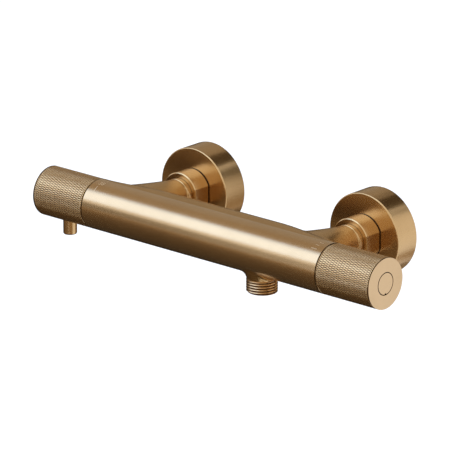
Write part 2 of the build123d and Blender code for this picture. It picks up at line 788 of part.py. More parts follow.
# Stop ring on the nose: a low lug for the safety stop and two full ones for the ends
stop_ring_x = -nut_face_x - cap_gap
lug_root_x = stop_ring_x - stop_ring_thickness
tongue_outer_drop = bar_radius - button_seat - bore_gap - button_flange_thickness
tongue_inner_drop = tongue_outer_drop - tongue_thickness
tongue_half_angle = degrees(asin(tongue_width / 2 / tongue_inner_drop))
lug_angle = tongue_half_angle + stop_play
button_angle = -90.0
with BuildPart() as stop_ring:
    with BuildSketch(across(stop_ring_x)):
        Circle(stop_ring_radius)
        Circle(nose_radius + bore_gap, mode=Mode.SUBTRACT)
    extrude(amount=-stop_ring_thickness)
    lug_plane = across(lug_root_x)
    safety_start = button_angle + lug_angle
    hot_start = safety_start + hot_override
    cold_start = button_angle - cold_travel - lug_angle
    safety_lug = ring_sector(lug_plane, stop_lug_inner, stop_ring_radius, safety_start, stop_lug_angle)
    hot_lug = ring_sector(lug_plane, fixed_lug_inner, stop_ring_radius, hot_start, stop_lug_angle)
    cold_lug = ring_sector(lug_plane, fixed_lug_inner, stop_ring_radius, cold_start, -stop_lug_angle)
    for lug in (safety_lug, hot_lug, cold_lug):
        extrude(lug, amount=-stop_lug_length)
save(stop_ring.part, "temperature_stop_ring")


# Parts that turn and slide inside the cartridge
collar_x = sleeve_bore_x + cap_gap
sleeve_x = collar_x + spindle_collar_thickness + sleeve_start
cup_x = sleeve_x + sleeve_back
head_x = cup_x + overtravel_length
element_x = head_x + element_head_thickness
web_x = slide_x - slide_web / 2


def cut_spindle_end(end):
    """Tool that cuts the splines, the clip's groove and the screw hole in a spindle."""
    with BuildPart() as tool:
        with BuildSketch(across(end * spindle_end)):
            with PolarLocations(spindle_radius, spline_count):
                Rectangle(2 * spline_depth, spline_width)
        extrude(amount=-end * spline_length)
        with BuildSketch(across(end * clip_x)):
            Circle(2 * spindle_radius)
            Circle(spindle_radius - clip_groove, mode=Mode.SUBTRACT)
        extrude(amount=end * clip_thickness)
        with BuildSketch(across(end * spindle_end)):
            Circle(screw_radius + bore_gap)
        extrude(amount=-end * spindle_hole_depth)
    return tool.part


with BuildPart() as temperature_spindle:
    with BuildSketch(across(-spindle_end)):
        Circle(spindle_radius)
    extrude(amount=spindle_end + collar_x + spindle_collar_thickness + spindle_thread_length)
    with BuildSketch(across(collar_x)):
        Circle(spindle_collar_radius)
    extrude(amount=spindle_collar_thickness)
    add(cut_spindle_end(-1), mode=Mode.SUBTRACT)
save(temperature_spindle.part, "temperature_spindle")

with BuildPart() as adjusting_sleeve:
    with BuildSketch(across(sleeve_x)):
        Circle(sleeve_radius)
        with PolarLocations(sleeve_radius, 2):
            Rectangle(2 * sleeve_key_height, sleeve_key_width)
    extrude(amount=sleeve_length)
    with BuildSketch(across(sleeve_x)):
        Circle(spindle_radius + running_gap)
    extrude(amount=sleeve_back, mode=Mode.SUBTRACT)
    with BuildSketch(across(cup_x)):
        Circle(sleeve_cup_radius)
    extrude(amount=sleeve_length, mode=Mode.SUBTRACT)
save(adjusting_sleeve.part, "adjusting_sleeve")

with BuildPart() as wax_element:
    with BuildSketch(across(head_x)):
        Circle(element_head_radius)
    extrude(amount=element_head_thickness)
    with BuildSketch(across(element_x)):
        Circle(element_radius)
    extrude(amount=web_x - element_x)
    with BuildSketch(across(web_x)):
        Circle(element_stem_radius)
    extrude(amount=element_stem_length)
save(wax_element.part, "wax_element")

with BuildPart() as regulating_slide:
    with BuildSketch(across(slide_x)):
        Circle(cartridge_bore_radius - running_gap)
        Circle(cartridge_bore_radius - slide_wall, mode=Mode.SUBTRACT)
    extrude(amount=slide_length / 2, both=True)
    with BuildSketch(across(web_x)):
        Circle(cartridge_bore_radius - slide_wall)
        Circle(element_stem_radius + bore_gap, mode=Mode.SUBTRACT)
    extrude(amount=slide_web)
    for number in range(window_count):
        port_start = full_turn * number / window_count - slide_port_angle / 2
        port = ring_sector(across(web_x), slide_port_inner, slide_port_outer, port_start, slide_port_angle)
        extrude(port, amount=slide_web, mode=Mode.SUBTRACT)
save(regulating_slide.part, "regulating_slide")

overtravel_spring = helix_spring(
    (cup_x, axis_y, 0),
    (1, 0, 0),
    overtravel_spring_radius,
    spring_wire,
    overtravel_length,
    overtravel_spring_turns,
)
save(overtravel_spring, "overtravel_spring")

return_spring_start = web_x + slide_web
return_spring = helix_spring(
    (return_spring_start, axis_y, 0),
    (1, 0, 0),
    return_spring_radius,
    spring_wire,
    lip_x - return_spring_start,
    return_spring_turns,
)
save(return_spring, "return_spring")

# Safety stop button: a peg in the handle whose tongue meets the stop ring's low lug
flange_outer_drop = bar_radius - button_seat - bore_gap
tongue_reach = lug_root_x - stop_play - button_x
with BuildPart() as stop_button:
    with BuildSketch(below(button_x, flange_outer_drop)):
        Circle(button_radius)
    extrude(amount=button_reach - flange_outer_drop)
    fillet(stop_button.edges().sort_by(Axis.Z)[0], radius=button_edge)
    with BuildSketch(below(button_x, flange_outer_drop)):
        Circle(button_flange_radius)
    extrude(amount=-button_flange_thickness - tongue_thickness)
    with BuildSketch(below(button_x, tongue_outer_drop)):
        with Locations((tongue_reach / 2, 0)):
            Rectangle(tongue_reach, tongue_width)
    extrude(amount=-tongue_thickness)
save(stop_button.part, "stop_button")

stop_button_spring = helix_spring(
    (button_x, axis_y, -tongue_inner_drop),
    (0, 0, 1),
    button_spring_radius,
    button_spring_wire,
    tongue_inner_drop - button_spring_pocket,
    button_spring_turns,
)
save(stop_button_spring, "stop_button_spring")

# Ceramic headwork: two ported discs in a cage that screws into the body
seal_end_x = headwork_inner_end + seat_seal_length
moving_disc_x = seal_end_x + disc_thickness + disc_gap
driver_x = moving_disc_x + disc_thickness + disc_gap
cage_end_x = headwork_inner_end + cage_length
window_x = cage_end_x - headwork_window_length
thread_x = neck_x - headwork_thread_length
headwork_ring_radius = headwork_radius + headwork_clearance - ring_section
disc_port_turns = (-disc_port_angle / 2, 180 - disc_port_angle / 2)
with BuildPart() as headwork:
    with BuildSketch(across(headwork_inner_end + seat_seal_proud)):
        Circle(headwork_radius)
    extrude(amount=thread_x - headwork_inner_end - seat_seal_proud)
    with BuildSketch(across(thread_x)):
        Circle(headwork_thread_radius)
    extrude(amount=headwork_thread_length)
    with BuildSketch(across(neck_x)):
        RegularPolygon(radius=hex_across_flats / 2, side_count=6, major_radius=False)
    extrude(amount=hex_thickness)
    with BuildSketch(across(nut_face_x)):
        Circle(nose_radius)
    extrude(amount=nose_reach)
    for place in headwork_ring_places:
        with BuildSketch(across(place)):
            Circle(headwork_radius)
            Circle(headwork_ring_radius - ring_section, mode=Mode.SUBTRACT)
        extrude(amount=ring_section + ring_side_gap, both=True, mode=Mode.SUBTRACT)
    with BuildSketch(across(headwork_inner_end)):
        Circle(disc_radius + disc_clearance)
    extrude(amount=cage_length, mode=Mode.SUBTRACT)
    with BuildSketch(across(cage_end_x)):
        Circle(spindle_radius + running_gap)
    extrude(amount=handle_end, mode=Mode.SUBTRACT)
    for turn in (90, -90):
        window_start = turn - headwork_window_angle / 2
        window = ring_sector(
            across(window_x), driver_radius, headwork_chamber_radius, window_start, headwork_window_angle
        )
        extrude(window, amount=headwork_window_length, mode=Mode.SUBTRACT)
save(headwork.part, "headwork_body")

with BuildPart() as headwork_rings:
    for place in headwork_ring_places:
        with BuildSketch(PROFILE):
            with Locations((place, headwork_ring_radius)):
                Rectangle(2 * ring_section, 2 * ring_section)
        revolve(axis=BAR)
save(headwork_rings.part, "headwork_rings")

with BuildPart() as seat_seal:
    with BuildSketch(across(headwork_inner_end)):
        Circle(disc_radius)
        Circle(seat_seal_bore, mode=Mode.SUBTRACT)
    extrude(amount=seat_seal_length)
save(seat_seal.part, "headwork_seat_seal")

with BuildPart() as fixed_disc:
    with BuildSketch(across(seal_end_x)):
        Circle(disc_radius)
    extrude(amount=disc_thickness)
    for turn in disc_port_turns:
        port = ring_sector(across(seal_end_x), disc_port_inner, disc_port_outer, turn, disc_port_angle)
        extrude(port, amount=disc_thickness, mode=Mode.SUBTRACT)
save(fixed_disc.part, "fixed_ceramic_disc")

with BuildPart() as moving_disc:
    with BuildSketch(across(moving_disc_x)):
        Circle(disc_radius - disc_clearance)
    extrude(amount=disc_thickness)
    for turn in disc_port_turns:
        port = ring_sector(
            across(moving_disc_x), disc_port_inner, disc_port_outer, turn + 90, disc_port_angle
        )
        extrude(port, amount=disc_thickness, mode=Mode.SUBTRACT)
    with BuildSketch(across(driver_x - disc_gap)):
        with PolarLocations(driver_tab_place, 2):
            Rectangle(driver_tab_size + 2 * bore_gap, driver_tab_size + 2 * bore_gap)
    extrude(amount=-driver_tab_depth, mode=Mode.SUBTRACT)
save(moving_disc.part, "moving_ceramic_disc")

with BuildPart() as flow_spindle:
    with BuildSketch(across(driver_x)):
        Circle(driver_radius)
        Rectangle(2 * driver_radius, driver_width, mode=Mode.INTERSECT)
    extrude(amount=driver_thickness)
    with BuildSketch(across(driver_x)):
        with PolarLocations(driver_tab_place, 2):
            Rectangle(driver_tab_size, driver_tab_size)
    extrude(amount=-driver_tab_depth)
    with BuildSketch(across(driver_x + driver_thickness)):
        Circle(flow_collar_radius)
    extrude(amount=cage_end_x - driver_x - driver_thickness - cap_gap)
    with BuildSketch(across(driver_x)):
        Circle(spindle_radius)
    extrude(amount=spindle_end - driver_x)
    add(cut_spindle_end(1), mode=Mode.SUBTRACT)
save(flow_spindle.part, "flow_spindle")
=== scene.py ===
# %% [markdown]
# # A shower mixer bar in satin bronze
# A wall-mounted mixer bar carries a temperature handle on its left and a flow handle on its right.
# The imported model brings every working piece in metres, in its true place. This lesson adds what a
# machinist's CAD leaves out: the knurling, threads, etched marks, finishes and light.

# %% Load the working pieces
from math import cos, pi, radians, sin

import bmesh
import bpy
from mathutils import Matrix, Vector


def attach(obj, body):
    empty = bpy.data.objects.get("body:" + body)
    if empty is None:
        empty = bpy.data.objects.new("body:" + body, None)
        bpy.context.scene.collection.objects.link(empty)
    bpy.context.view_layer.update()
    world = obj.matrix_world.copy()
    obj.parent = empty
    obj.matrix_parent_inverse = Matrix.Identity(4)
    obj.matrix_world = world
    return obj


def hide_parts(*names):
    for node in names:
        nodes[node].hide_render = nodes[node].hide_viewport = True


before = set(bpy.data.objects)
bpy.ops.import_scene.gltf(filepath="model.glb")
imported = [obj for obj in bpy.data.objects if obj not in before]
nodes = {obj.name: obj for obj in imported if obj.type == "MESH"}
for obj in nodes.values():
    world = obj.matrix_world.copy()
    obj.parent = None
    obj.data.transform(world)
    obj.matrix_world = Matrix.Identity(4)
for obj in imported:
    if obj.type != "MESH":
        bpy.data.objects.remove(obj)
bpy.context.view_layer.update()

# %% [markdown]
# ## Camera
# The photograph was taken with a long lens from the front right, a little above the bar. A camera
# can be set by trial, or from measured points. Here the seams, the end face, the outlet and the
# escutcheons were measured, so the angles, the distance and the lens come from them. The frame is
# 450 by 450 pixels.

# %% Camera
CAMERA_TURN = 41.53
CAMERA_RISE = 18.22
CAMERA_PLACE = (1.8451, -2.1551, 0.9203)
camera = bpy.data.objects.new("camera", bpy.data.cameras.new("camera"))
bpy.context.scene.collection.objects.link(camera)
camera.data.sensor_width = 36.0
camera.data.lens = 356.3
camera.location = CAMERA_PLACE
camera.rotation_euler = (radians(90.0 - CAMERA_RISE), 0.0, radians(CAMERA_TURN))
bpy.context.scene.camera = camera
print("camera at", [round(value, 3) for value in camera.location], "lens", camera.data.lens)

# %% [markdown]
# ## Helpers for modelling by hand
# Every piece is added as a primitive, shaped in edit mode and finished with modifiers. An operator
# acts on all that is selected, so the first small helpers clear the selection, and pick vertices,
# edges and faces by their place, as a modeller picks them with a box.

# %% Selecting
MM = 0.001
MICRON = 0.001 * MM
TOUCH = 10 * MICRON
AXIS_Y = -84.0 * MM


def clear_selection():
    """Leave object mode with nothing selected."""
    if bpy.context.object and bpy.context.object.mode != "OBJECT":
        bpy.ops.object.mode_set(mode="OBJECT")
    bpy.ops.object.select_all(action="DESELECT")


def take(piece):
    """Make one object the only selected and active one."""
    clear_selection()
    piece.select_set(True)
    bpy.context.view_layer.objects.active = piece


def pick(piece, wanted, kind="VERT"):
    """In edit mode, select the vertices, edges or faces whose centre passes the test."""
    mesh = bmesh.from_edit_mesh(piece.data)
    mesh.select_mode = {kind}
    bpy.context.tool_settings.mesh_select_mode = (kind == "VERT", kind == "EDGE", kind == "FACE")
    for group in (mesh.verts, mesh.edges, mesh.faces):
        for element in group:
            element.select = False
    found = 0
    parts = {"VERT": mesh.verts, "EDGE": mesh.edges, "FACE": mesh.faces}[kind]
    for element in parts:
        if kind == "VERT":
            centre = element.co
        elif kind == "EDGE":
            centre = (element.verts[0].co + element.verts[1].co) / 2
        else:
            centre = element.calc_center_median()
        if wanted(element, centre):
            element.select = True
            found += 1
    mesh.select_flush_mode()
    bmesh.update_edit_mesh(piece.data)
    return found


print("bar axis at y =", round(AXIS_Y / MM, 1), "mm, same place within", round(TOUCH / MM, 3), "mm")

# %% [markdown]
# A finished piece is one closed skin whose faces look outwards, with its place in its mesh. The next
# helpers bring a piece to that state, and cut or join two pieces with a boolean that is applied at
# once, as nothing live is left on a finished piece.

# %% Finishing
MERGE = 2 * MICRON


def settle(piece, name):
    """Apply the object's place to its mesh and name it."""
    take(piece)
    bpy.ops.object.transform_apply(location=True, rotation=True, scale=True)
    piece.name = name
    piece.data.name = name
    print(name, "faces", len(piece.data.polygons))


def finish_mesh(piece, angle=30.0):
    """Merge doubles, turn all faces outwards and shade the gentle edges smooth."""
    take(piece)
    bpy.ops.object.mode_set(mode="EDIT")
    bpy.ops.mesh.select_all(action="SELECT")
    bpy.ops.mesh.remove_doubles(threshold=MERGE)
    bpy.ops.mesh.normals_make_consistent(inside=False)
    bpy.ops.object.mode_set(mode="OBJECT")
    bpy.ops.object.shade_smooth_by_angle(angle=radians(angle))
    mesh = bmesh.new()
    mesh.from_mesh(piece.data)
    print(piece.name, "open edges", sum(len(edge.link_faces) != 2 for edge in mesh.edges))
    mesh.free()


def boolean(piece, other, operation):
    """Combine a piece with another one, apply it and remove the other."""
    take(piece)
    step = piece.modifiers.new(operation.lower(), "BOOLEAN")
    step.operation = operation
    step.solver = "EXACT"
    step.object = other
    bpy.ops.object.modifier_apply(modifier=step.name)
    bpy.data.objects.remove(other)


print("vertices closer than", round(MERGE / MM, 4), "mm are merged")

# %% [markdown]
# ## Knurled handles
# Both handles are rolled with a diamond knurl. Measured on the photograph, a diamond is about 4.3 mm
# long and 1.5 mm wide, which makes 72 rows round the handle and 10 along it. A bump map could fake
# it, but the outline and the glints come from real tips. So a 72-sided cylinder is divided in 10
# rows, each face is poked, and the old straight edges are dissolved: what stays is a net of
# diamonds.

# %% Net of diamonds
HANDLE_START = 103.0 * MM
HANDLE_END = 147.1 * MM
HANDLE_RADIUS = 17.1 * MM
GROOVE_RADIUS = 16.93 * MM
KNURL_ROWS = 10
KNURL_SIDES = 72
RIM = 0.35 * MM
EDGE_GROOVE = 0.95 * MM


def is_straight(edge, low, high):
    """True for an inner edge of the first grid: it runs along the bar or round it."""
    first, second = edge.verts[0].co, edge.verts[1].co
    along = abs(first.x - second.x)
    around = (Vector((0.0, first.y, first.z)) - Vector((0.0, second.y, second.z))).length
    if along < TOUCH:
        return low + RIM < first.x < high - RIM
    return around < TOUCH


def knurled_sleeve(end):
    """Outer skin of one handle: a tube of diamonds between two plain rims."""
    length = HANDLE_END - HANDLE_START - RIM - EDGE_GROOVE
    middle = end * (HANDLE_START + RIM + HANDLE_END - EDGE_GROOVE) / 2
    clear_selection()
    bpy.ops.mesh.primitive_cylinder_add(
        vertices=KNURL_SIDES, radius=GROOVE_RADIUS, depth=length, end_fill_type="NOTHING",
        location=(middle, AXIS_Y, 0.0), rotation=(0.0, radians(90.0), 0.0),
    )
    sleeve = bpy.context.object
    bpy.ops.object.transform_apply(location=True, rotation=True, scale=True)
    bpy.ops.object.mode_set(mode="EDIT")
    pick(sleeve, lambda edge, c: abs(edge.verts[0].co.x - edge.verts[1].co.x) > RIM, "EDGE")
    bpy.ops.mesh.subdivide(number_cuts=KNURL_ROWS - 1)
    bpy.ops.mesh.select_all(action="SELECT")
    bpy.ops.mesh.poke()
    low, high = middle - length / 2, middle + length / 2
    straight = pick(sleeve, lambda edge, c: is_straight(edge, low, high), "EDGE")
    bpy.ops.mesh.dissolve_edges(use_verts=False)
    bpy.ops.object.mode_set(mode="OBJECT")
    print("sleeve net:", len(sleeve.data.polygons), "faces after dissolving", straight)
    return sleeve, low, high


print("a diamond is", round(2 * pi * HANDLE_RADIUS / KNURL_SIDES / MM, 2), "mm wide")

# %% [markdown]
# The rolling tool presses the grooves and leaves each diamond standing on steep sides. A bevel would
# take the same off every edge. Here each diamond is inset, lifted and poked instead, so that it has
# a steep foot and a low point, and each side of the point catches a glint of its own.

# %% Tips of the knurl
FOOT_WIDTH = 0.2 * MM
POINT_HEIGHT = 0.06 * MM


def lift_selected(piece, radius):
    """Move the selected vertices straight away from the handle's axis to a radius."""
    mesh = bmesh.from_edit_mesh(piece.data)
    for corner in mesh.verts:
        if corner.select:
            spoke = Vector((0.0, corner.co.y - AXIS_Y, corner.co.z)).normalized() * radius
            corner.co = Vector((corner.co.x, AXIS_Y + spoke.y, spoke.z))
    bmesh.update_edit_mesh(piece.data)


def raise_tips(sleeve):
    """Give every diamond a steep foot and a low point that reaches the handle's full radius."""
    take(sleeve)
    bpy.ops.object.mode_set(mode="EDIT")
    bpy.ops.mesh.select_all(action="SELECT")
    bpy.ops.object.material_slot_assign()
    bpy.ops.mesh.inset(use_boundary=True, use_individual=True, thickness=FOOT_WIDTH, depth=0.0)
    lift_selected(sleeve, HANDLE_RADIUS - POINT_HEIGHT)
    bpy.ops.mesh.poke()
    mesh = bmesh.from_edit_mesh(sleeve.data)
    tips = [corner for corner in mesh.verts if all(face.select for face in corner.link_faces)]
    bpy.ops.mesh.select_all(action="DESELECT")
    for corner in tips:
        corner.select = True
    lift_selected(sleeve, HANDLE_RADIUS)
    bpy.ops.object.mode_set(mode="OBJECT")
    print("tips:", len(tips))


print("a tip stands", round((HANDLE_RADIUS - GROOVE_RADIUS) / MM, 2), "mm above its groove")

# %% [markdown]
# The handle is a turned cup. It has a plain groove and a rounded edge at its end, a recess for the
# cap, a hole for the screw and a bore round the mechanism. A spun profile would need the knurl to be
# joined to it afterwards. It is simpler to go on from the rim of the net: each new ring is extruded
# and set at its place and radius, and the last is bridged to the other rim, so the skin is closed.

# %% Ends and bore of the handle
EDGE_DEPTH = 0.4 * MM
RECESS_RADIUS = 7.55 * MM
RECESS_DEPTH = 2.5 * MM
SCREW_HOLE = 5.2 * MM
END_WALL = 3.5 * MM
BORE_RADIUS = 15.1 * MM
PLAIN_SLOT, KNURLED_SLOT = 0, 1


def next_ring(x, radius):
    """Extrude the selected rim and set the new ring at a place and a radius."""
    bpy.ops.mesh.extrude_edges_move()
    piece = bpy.context.object
    lift_selected(piece, radius)
    mesh = bmesh.from_edit_mesh(piece.data)
    for corner in mesh.verts:
        if corner.select:
            corner.co.x = x
    bmesh.update_edit_mesh(piece.data)


def is_end_face(centre):
    """True on the flat outer end of a handle, outside the cap's recess."""
    out = Vector((centre.y - AXIS_Y, centre.z)).length
    return abs(centre.x) > HANDLE_END - 0.15 * MM and out > RECESS_RADIUS + 0.15 * MM


def turn_inside(sleeve, end, far):
    """Turn the end face, the cap's recess and the bore, ring by ring, back to the seam."""
    take(sleeve)
    bpy.ops.object.mode_set(mode="EDIT")
    pick(sleeve, lambda v, c: abs(c.x - far) < TOUCH)
    face = end * HANDLE_END
    seam = end * HANDLE_START
    rings = [
        (far + end * 0.02 * MM, HANDLE_RADIUS - EDGE_DEPTH),
        (far + end * 0.68 * MM, HANDLE_RADIUS - EDGE_DEPTH),
        (far + end * 0.72 * MM, HANDLE_RADIUS - 0.06 * MM),
        (face - end * 0.08 * MM, HANDLE_RADIUS),
        (face, HANDLE_RADIUS - 0.1 * MM),
        (face, RECESS_RADIUS + 0.21 * MM),
        (face - end * 0.12 * MM, RECESS_RADIUS + 0.01 * MM),
        (face - end * RECESS_DEPTH, RECESS_RADIUS),
        (face - end * RECESS_DEPTH, SCREW_HOLE),
        (face - end * END_WALL, SCREW_HOLE),
        (face - end * END_WALL, BORE_RADIUS),
        (seam, BORE_RADIUS),
        (seam, HANDLE_RADIUS - 0.2 * MM),
        (seam + end * 0.12 * MM, HANDLE_RADIUS - 0.02 * MM),
    ]
    for x, radius in rings:
        next_ring(x, radius)
    pick(sleeve, lambda side, centre: is_end_face(centre), "FACE")
    sleeve.active_material_index = PLAIN_SLOT
    bpy.ops.object.material_slot_assign()
    pick(sleeve, lambda edge, c: len(edge.link_faces) == 1, "EDGE")
    bpy.ops.mesh.bridge_edge_loops()
    bpy.ops.object.mode_set(mode="OBJECT")
    print("turned", len(rings), "rings")


print("bore", round(2 * BORE_RADIUS / MM, 1), "mm wide")

# %% [markdown]
# The end face is turned smooth and the rest is knurled, so a handle has two slots for its finishes.
# The flow handle is at the right end of the bar and the temperature handle at the left end.

# %% Both handles
KNURL_ANGLE = 12.0


def make_handle(name, end):
    """One knurled handle, ready for its finish."""
    sleeve, low, high = knurled_sleeve(end)
    for slot_name in ("plain", "knurled"):
        sleeve.data.materials.append(bpy.data.materials.new(slot_name))
    sleeve.active_material_index = KNURLED_SLOT
    raise_tips(sleeve)
    turn_inside(sleeve, end, high if end > 0 else low)
    settle(sleeve, name)
    finish_mesh(sleeve, KNURL_ANGLE)
    return sleeve


flow_knurl = make_handle("flow_knurled_handle", 1)
temperature_knurl = make_handle("temperature_knurled_handle", -1)

# %% [markdown]
# The temperature handle has one more feature: a round hole underneath, where the stop button comes
# through. A boolean with a plain cylinder cuts it, as a drill would.

# %% Hole for the stop button
BUTTON_X = -129.0 * MM
BUTTON_HOLE = 4.8 * MM


def cut_hole(piece, x, radius, top, bottom):
    """Cut a vertical hole in a piece, from one level to another."""
    clear_selection()
    bpy.ops.mesh.primitive_cylinder_add(
        vertices=64, radius=radius, depth=top - bottom, location=(x, AXIS_Y, (top + bottom) / 2)
    )
    boolean(piece, bpy.context.object, "DIFFERENCE")


cut_hole(temperature_knurl, BUTTON_X, BUTTON_HOLE, -10.0 * MM, -20.0 * MM)
finish_mesh(temperature_knurl, KNURL_ANGLE)
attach(flow_knurl, "flow_knob")
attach(temperature_knurl, "temperature_knob")
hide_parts("flow_handle")
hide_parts("temperature_handle")

# %% [markdown]
# ## Threads
# The hose outlet and the two wall tails carry half-inch pipe threads of 14 turns to the inch. The
# blanks and bores that they need are turned parts. A lathe makes a turned part from rings of a
# radius and a height, and so does this helper, by extruding a disc and resizing each new ring.

# %% Turned blanks


def turned_blank(rings, sides=96, shift=0.0):
    """Solid of revolution about Z from (radius, height) rings, low to high, shifted along Y."""
    clear_selection()
    radius, height = rings[0]
    bpy.ops.mesh.primitive_circle_add(
        vertices=sides, radius=radius, fill_type="NGON", location=(0, 0, 0))
    blank = bpy.context.object
    bpy.ops.object.mode_set(mode="EDIT")
    bpy.ops.mesh.select_all(action="SELECT")
    bpy.ops.transform.translate(value=(0, 0, height))
    for next_radius, next_height in rings[1:]:
        rise = (0, 0, next_height - height)
        bpy.ops.mesh.extrude_region_move(TRANSFORM_OT_translate={"value": rise})
        grow = next_radius / radius
        bpy.ops.transform.resize(
            value=(grow, grow, 1.0), center_override=(0, 0, next_height))
        radius, height = next_radius, next_height
    bpy.ops.mesh.select_all(action="SELECT")
    bpy.ops.transform.translate(value=(0, shift, 0))
    bpy.ops.object.mode_set(mode="OBJECT")
    finish_mesh(blank)
    return blank


def plain_rod(radius, low, high, sides=96, shift=0.0):
    """Straight cylinder or prism about Z, its radius and heights in millimetres."""
    return turned_blank([(radius * MM, low * MM), (radius * MM, high * MM)], sides, shift)


print("blanks have 96 sides, so they are round to", round(10 * (1 - cos(pi / 96)), 4), "mm")

# %% [markdown]
# One tooth of the thread is drawn as an edge profile, and the Screw modifier sweeps it up a helix. A
# pattern of rings would look right from afar, but its lines wouldn't climb. The helix starts more
# than a turn below the rod, so that both square cuts go through full teeth. Intersecting it with a
# turned blank gives it its lead-in chamfer.

# %% Threaded rods
PITCH = 1.814 * MM
MAJOR = 10.4775 * MM
MINOR = 9.32 * MM
ROOT_ROUND = 0.15 * MM
CREST_ROUND = 0.06 * MM
TURNS_BELOW = 1.4937
TURNS_SPARE = 3
GAUGE_ROOM = 0.5 * MM
TOOTH = [
    (MINOR, 0.0),
    (MINOR + ROOT_ROUND, 0.12 * PITCH),
    (MAJOR - CREST_ROUND, 0.42 * PITCH),
    (MAJOR, 0.47 * PITCH),
    (MAJOR, 0.53 * PITCH),
    (MAJOR - CREST_ROUND, 0.58 * PITCH),
    (MINOR + ROOT_ROUND, 0.88 * PITCH),
    (MINOR, PITCH),
]


def draw_tooth():
    """One tooth as a line of edges in the XZ plane, extruded from a single vertex."""
    clear_selection()
    bpy.ops.mesh.primitive_plane_add(size=PITCH, location=(0.0, 0.0, 0.0))
    rod = bpy.context.object
    bpy.ops.object.mode_set(mode="EDIT")
    pick(rod, lambda corner, c: True)
    bpy.ops.mesh.merge(type="CENTER")
    bpy.ops.transform.translate(value=(TOOTH[0][0], 0.0, TOOTH[0][1]))
    for (radius, height), (before, low) in zip(TOOTH[1:], TOOTH):
        step = (radius - before, 0, height - low)
        bpy.ops.mesh.extrude_vertices_move(TRANSFORM_OT_translate={"value": step})
    bpy.ops.object.mode_set(mode="OBJECT")
    return rod


def threaded_rod(length, lead_in):
    """Solid rod about Z from 0 to its length, threaded all along, chamfered at the far end."""
    rod = draw_tooth()
    sweep = rod.modifiers.new("helix", "SCREW")
    sweep.axis = "Z"
    sweep.screw_offset = PITCH
    sweep.iterations = int(length / PITCH) + TURNS_SPARE
    sweep.steps = 64
    sweep.render_steps = 64
    sweep.use_merge_vertices = True
    bpy.ops.object.modifier_apply(modifier=sweep.name)
    bpy.ops.object.mode_set(mode="EDIT")
    bpy.ops.mesh.select_all(action="SELECT")
    bpy.ops.mesh.remove_doubles(threshold=MERGE)
    bpy.ops.transform.translate(value=(0, 0, -TURNS_BELOW * PITCH))
    for height, outer in ((0.0, False), (length, True)):
        bpy.ops.mesh.select_all(action="SELECT")
        bpy.ops.mesh.bisect(
            plane_co=(0, 0, height), plane_no=(0, 0, 1), use_fill=False, threshold=MICRON,
            clear_outer=outer, clear_inner=not outer)
    bpy.ops.mesh.select_all(action="SELECT")
    bpy.ops.mesh.remove_doubles(threshold=MERGE)
    pick(rod, lambda edge, c: len(edge.link_faces) == 1, "EDGE")
    bpy.ops.mesh.edge_face_add()
    bpy.ops.object.mode_set(mode="OBJECT")
    finish_mesh(rod)
    gauge = turned_blank([
        (MAJOR + GAUGE_ROOM, -1.0 * MM),
        (MAJOR + GAUGE_ROOM, length - lead_in),
        (MAJOR - lead_in, length + GAUGE_ROOM),
    ])
    boolean(rod, gauge, "INTERSECT")
    return rod


print("pitch", round(PITCH / MM, 3), "mm, tooth", round((MAJOR - MINOR) / MM, 2), "mm high")

# %% [markdown]
# The nipple under the bar takes the hose. Its thread starts under a short plain neck that sits in
# the bar's boss, and water runs through its bore, which widens to a hexagon for the key that
# screws it in. Each of these is one boolean on the threaded rod, which then turns to point down.

# %% Threaded outlet nipple
OUTLET = Vector((43.0 * MM, AXIS_Y, -19.5 * MM))
THREAD_ANGLE = 35.0
nipple = threaded_rod(9.0 * MM, 0.8 * MM)
boolean(nipple, plain_rod(8.8, -6.5, 1.0), "UNION")
boolean(nipple, plain_rod(5.6, -7.0, 9.5), "DIFFERENCE")
boolean(nipple, plain_rod(6.93, 4.0, 9.5, sides=6), "DIFFERENCE")
nipple.rotation_euler = (pi, 0.0, 0.0)
nipple.location = OUTLET
settle(nipple, "threaded_outlet_nipple")
finish_mesh(nipple, THREAD_ANGLE)

# %% [markdown]
# The tails of the two unions screw into the wall. They stand 5 mm above the bar, because an
# eccentric union is turned until both tails meet their pipes. The boss, the plain end and the two
# bores are added to the threaded rod by booleans, while it still stands upright at the origin.

# %% Threaded wall unions
TAIL_RISE = 5.0 * MM
TAIL_START = -1.0 * MM


def wall_union(side, x):
    """Eccentric union: threaded tail, round boss and the plain end inside the nut."""
    union = threaded_rod(15.0 * MM, 0.6 * MM)
    boss_rings = [(13.3 * MM, -11.0 * MM), (13.6 * MM, -10.7 * MM), (13.6 * MM, -0.4 * MM),
                  (13.2 * MM, 0.0 * MM)]
    boolean(union, turned_blank(boss_rings, shift=TAIL_RISE / 2), "UNION")
    boolean(union, plain_rod(12.7, -24.1, -10.0, shift=TAIL_RISE), "UNION")
    boolean(union, plain_rod(8.2, -25.0, -5.0, shift=TAIL_RISE), "DIFFERENCE")
    boolean(union, plain_rod(7.0, -7.0, 16.0), "DIFFERENCE")
    union.rotation_euler = (-pi / 2, 0.0, 0.0)
    union.location = (x, TAIL_START, TAIL_RISE)
    settle(union, f"{side}_threaded_union")
    finish_mesh(union, THREAD_ANGLE)
    return union


hot_tail = wall_union("hot", -75.0 * MM)
cold_tail = wall_union("cold", 75.0 * MM)

for tail, side in ((hot_tail, "hot"), (cold_tail, "cold")):
    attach(tail, "mixer_body")
    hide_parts(f"{side}_eccentric_union")
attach(nipple, "mixer_body")
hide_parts("outlet_nipple")

# %% [markdown]
# ## Etched marks
# A number and a few short bars are etched beside the seams, to set the handles by. They lie on the
# round bar, so flat text would float or sink. A mark is drawn flat and cut finer, it gets a thin
# body, and each vertex is then laid on the cylinder: its width runs along the bar and its height
# round it.

# %% Laying marks on the bar
BAR_RADIUS = 17.1 * MM
MARK_LIFT = 0.02 * MM
MARK_SINK = 0.05 * MM


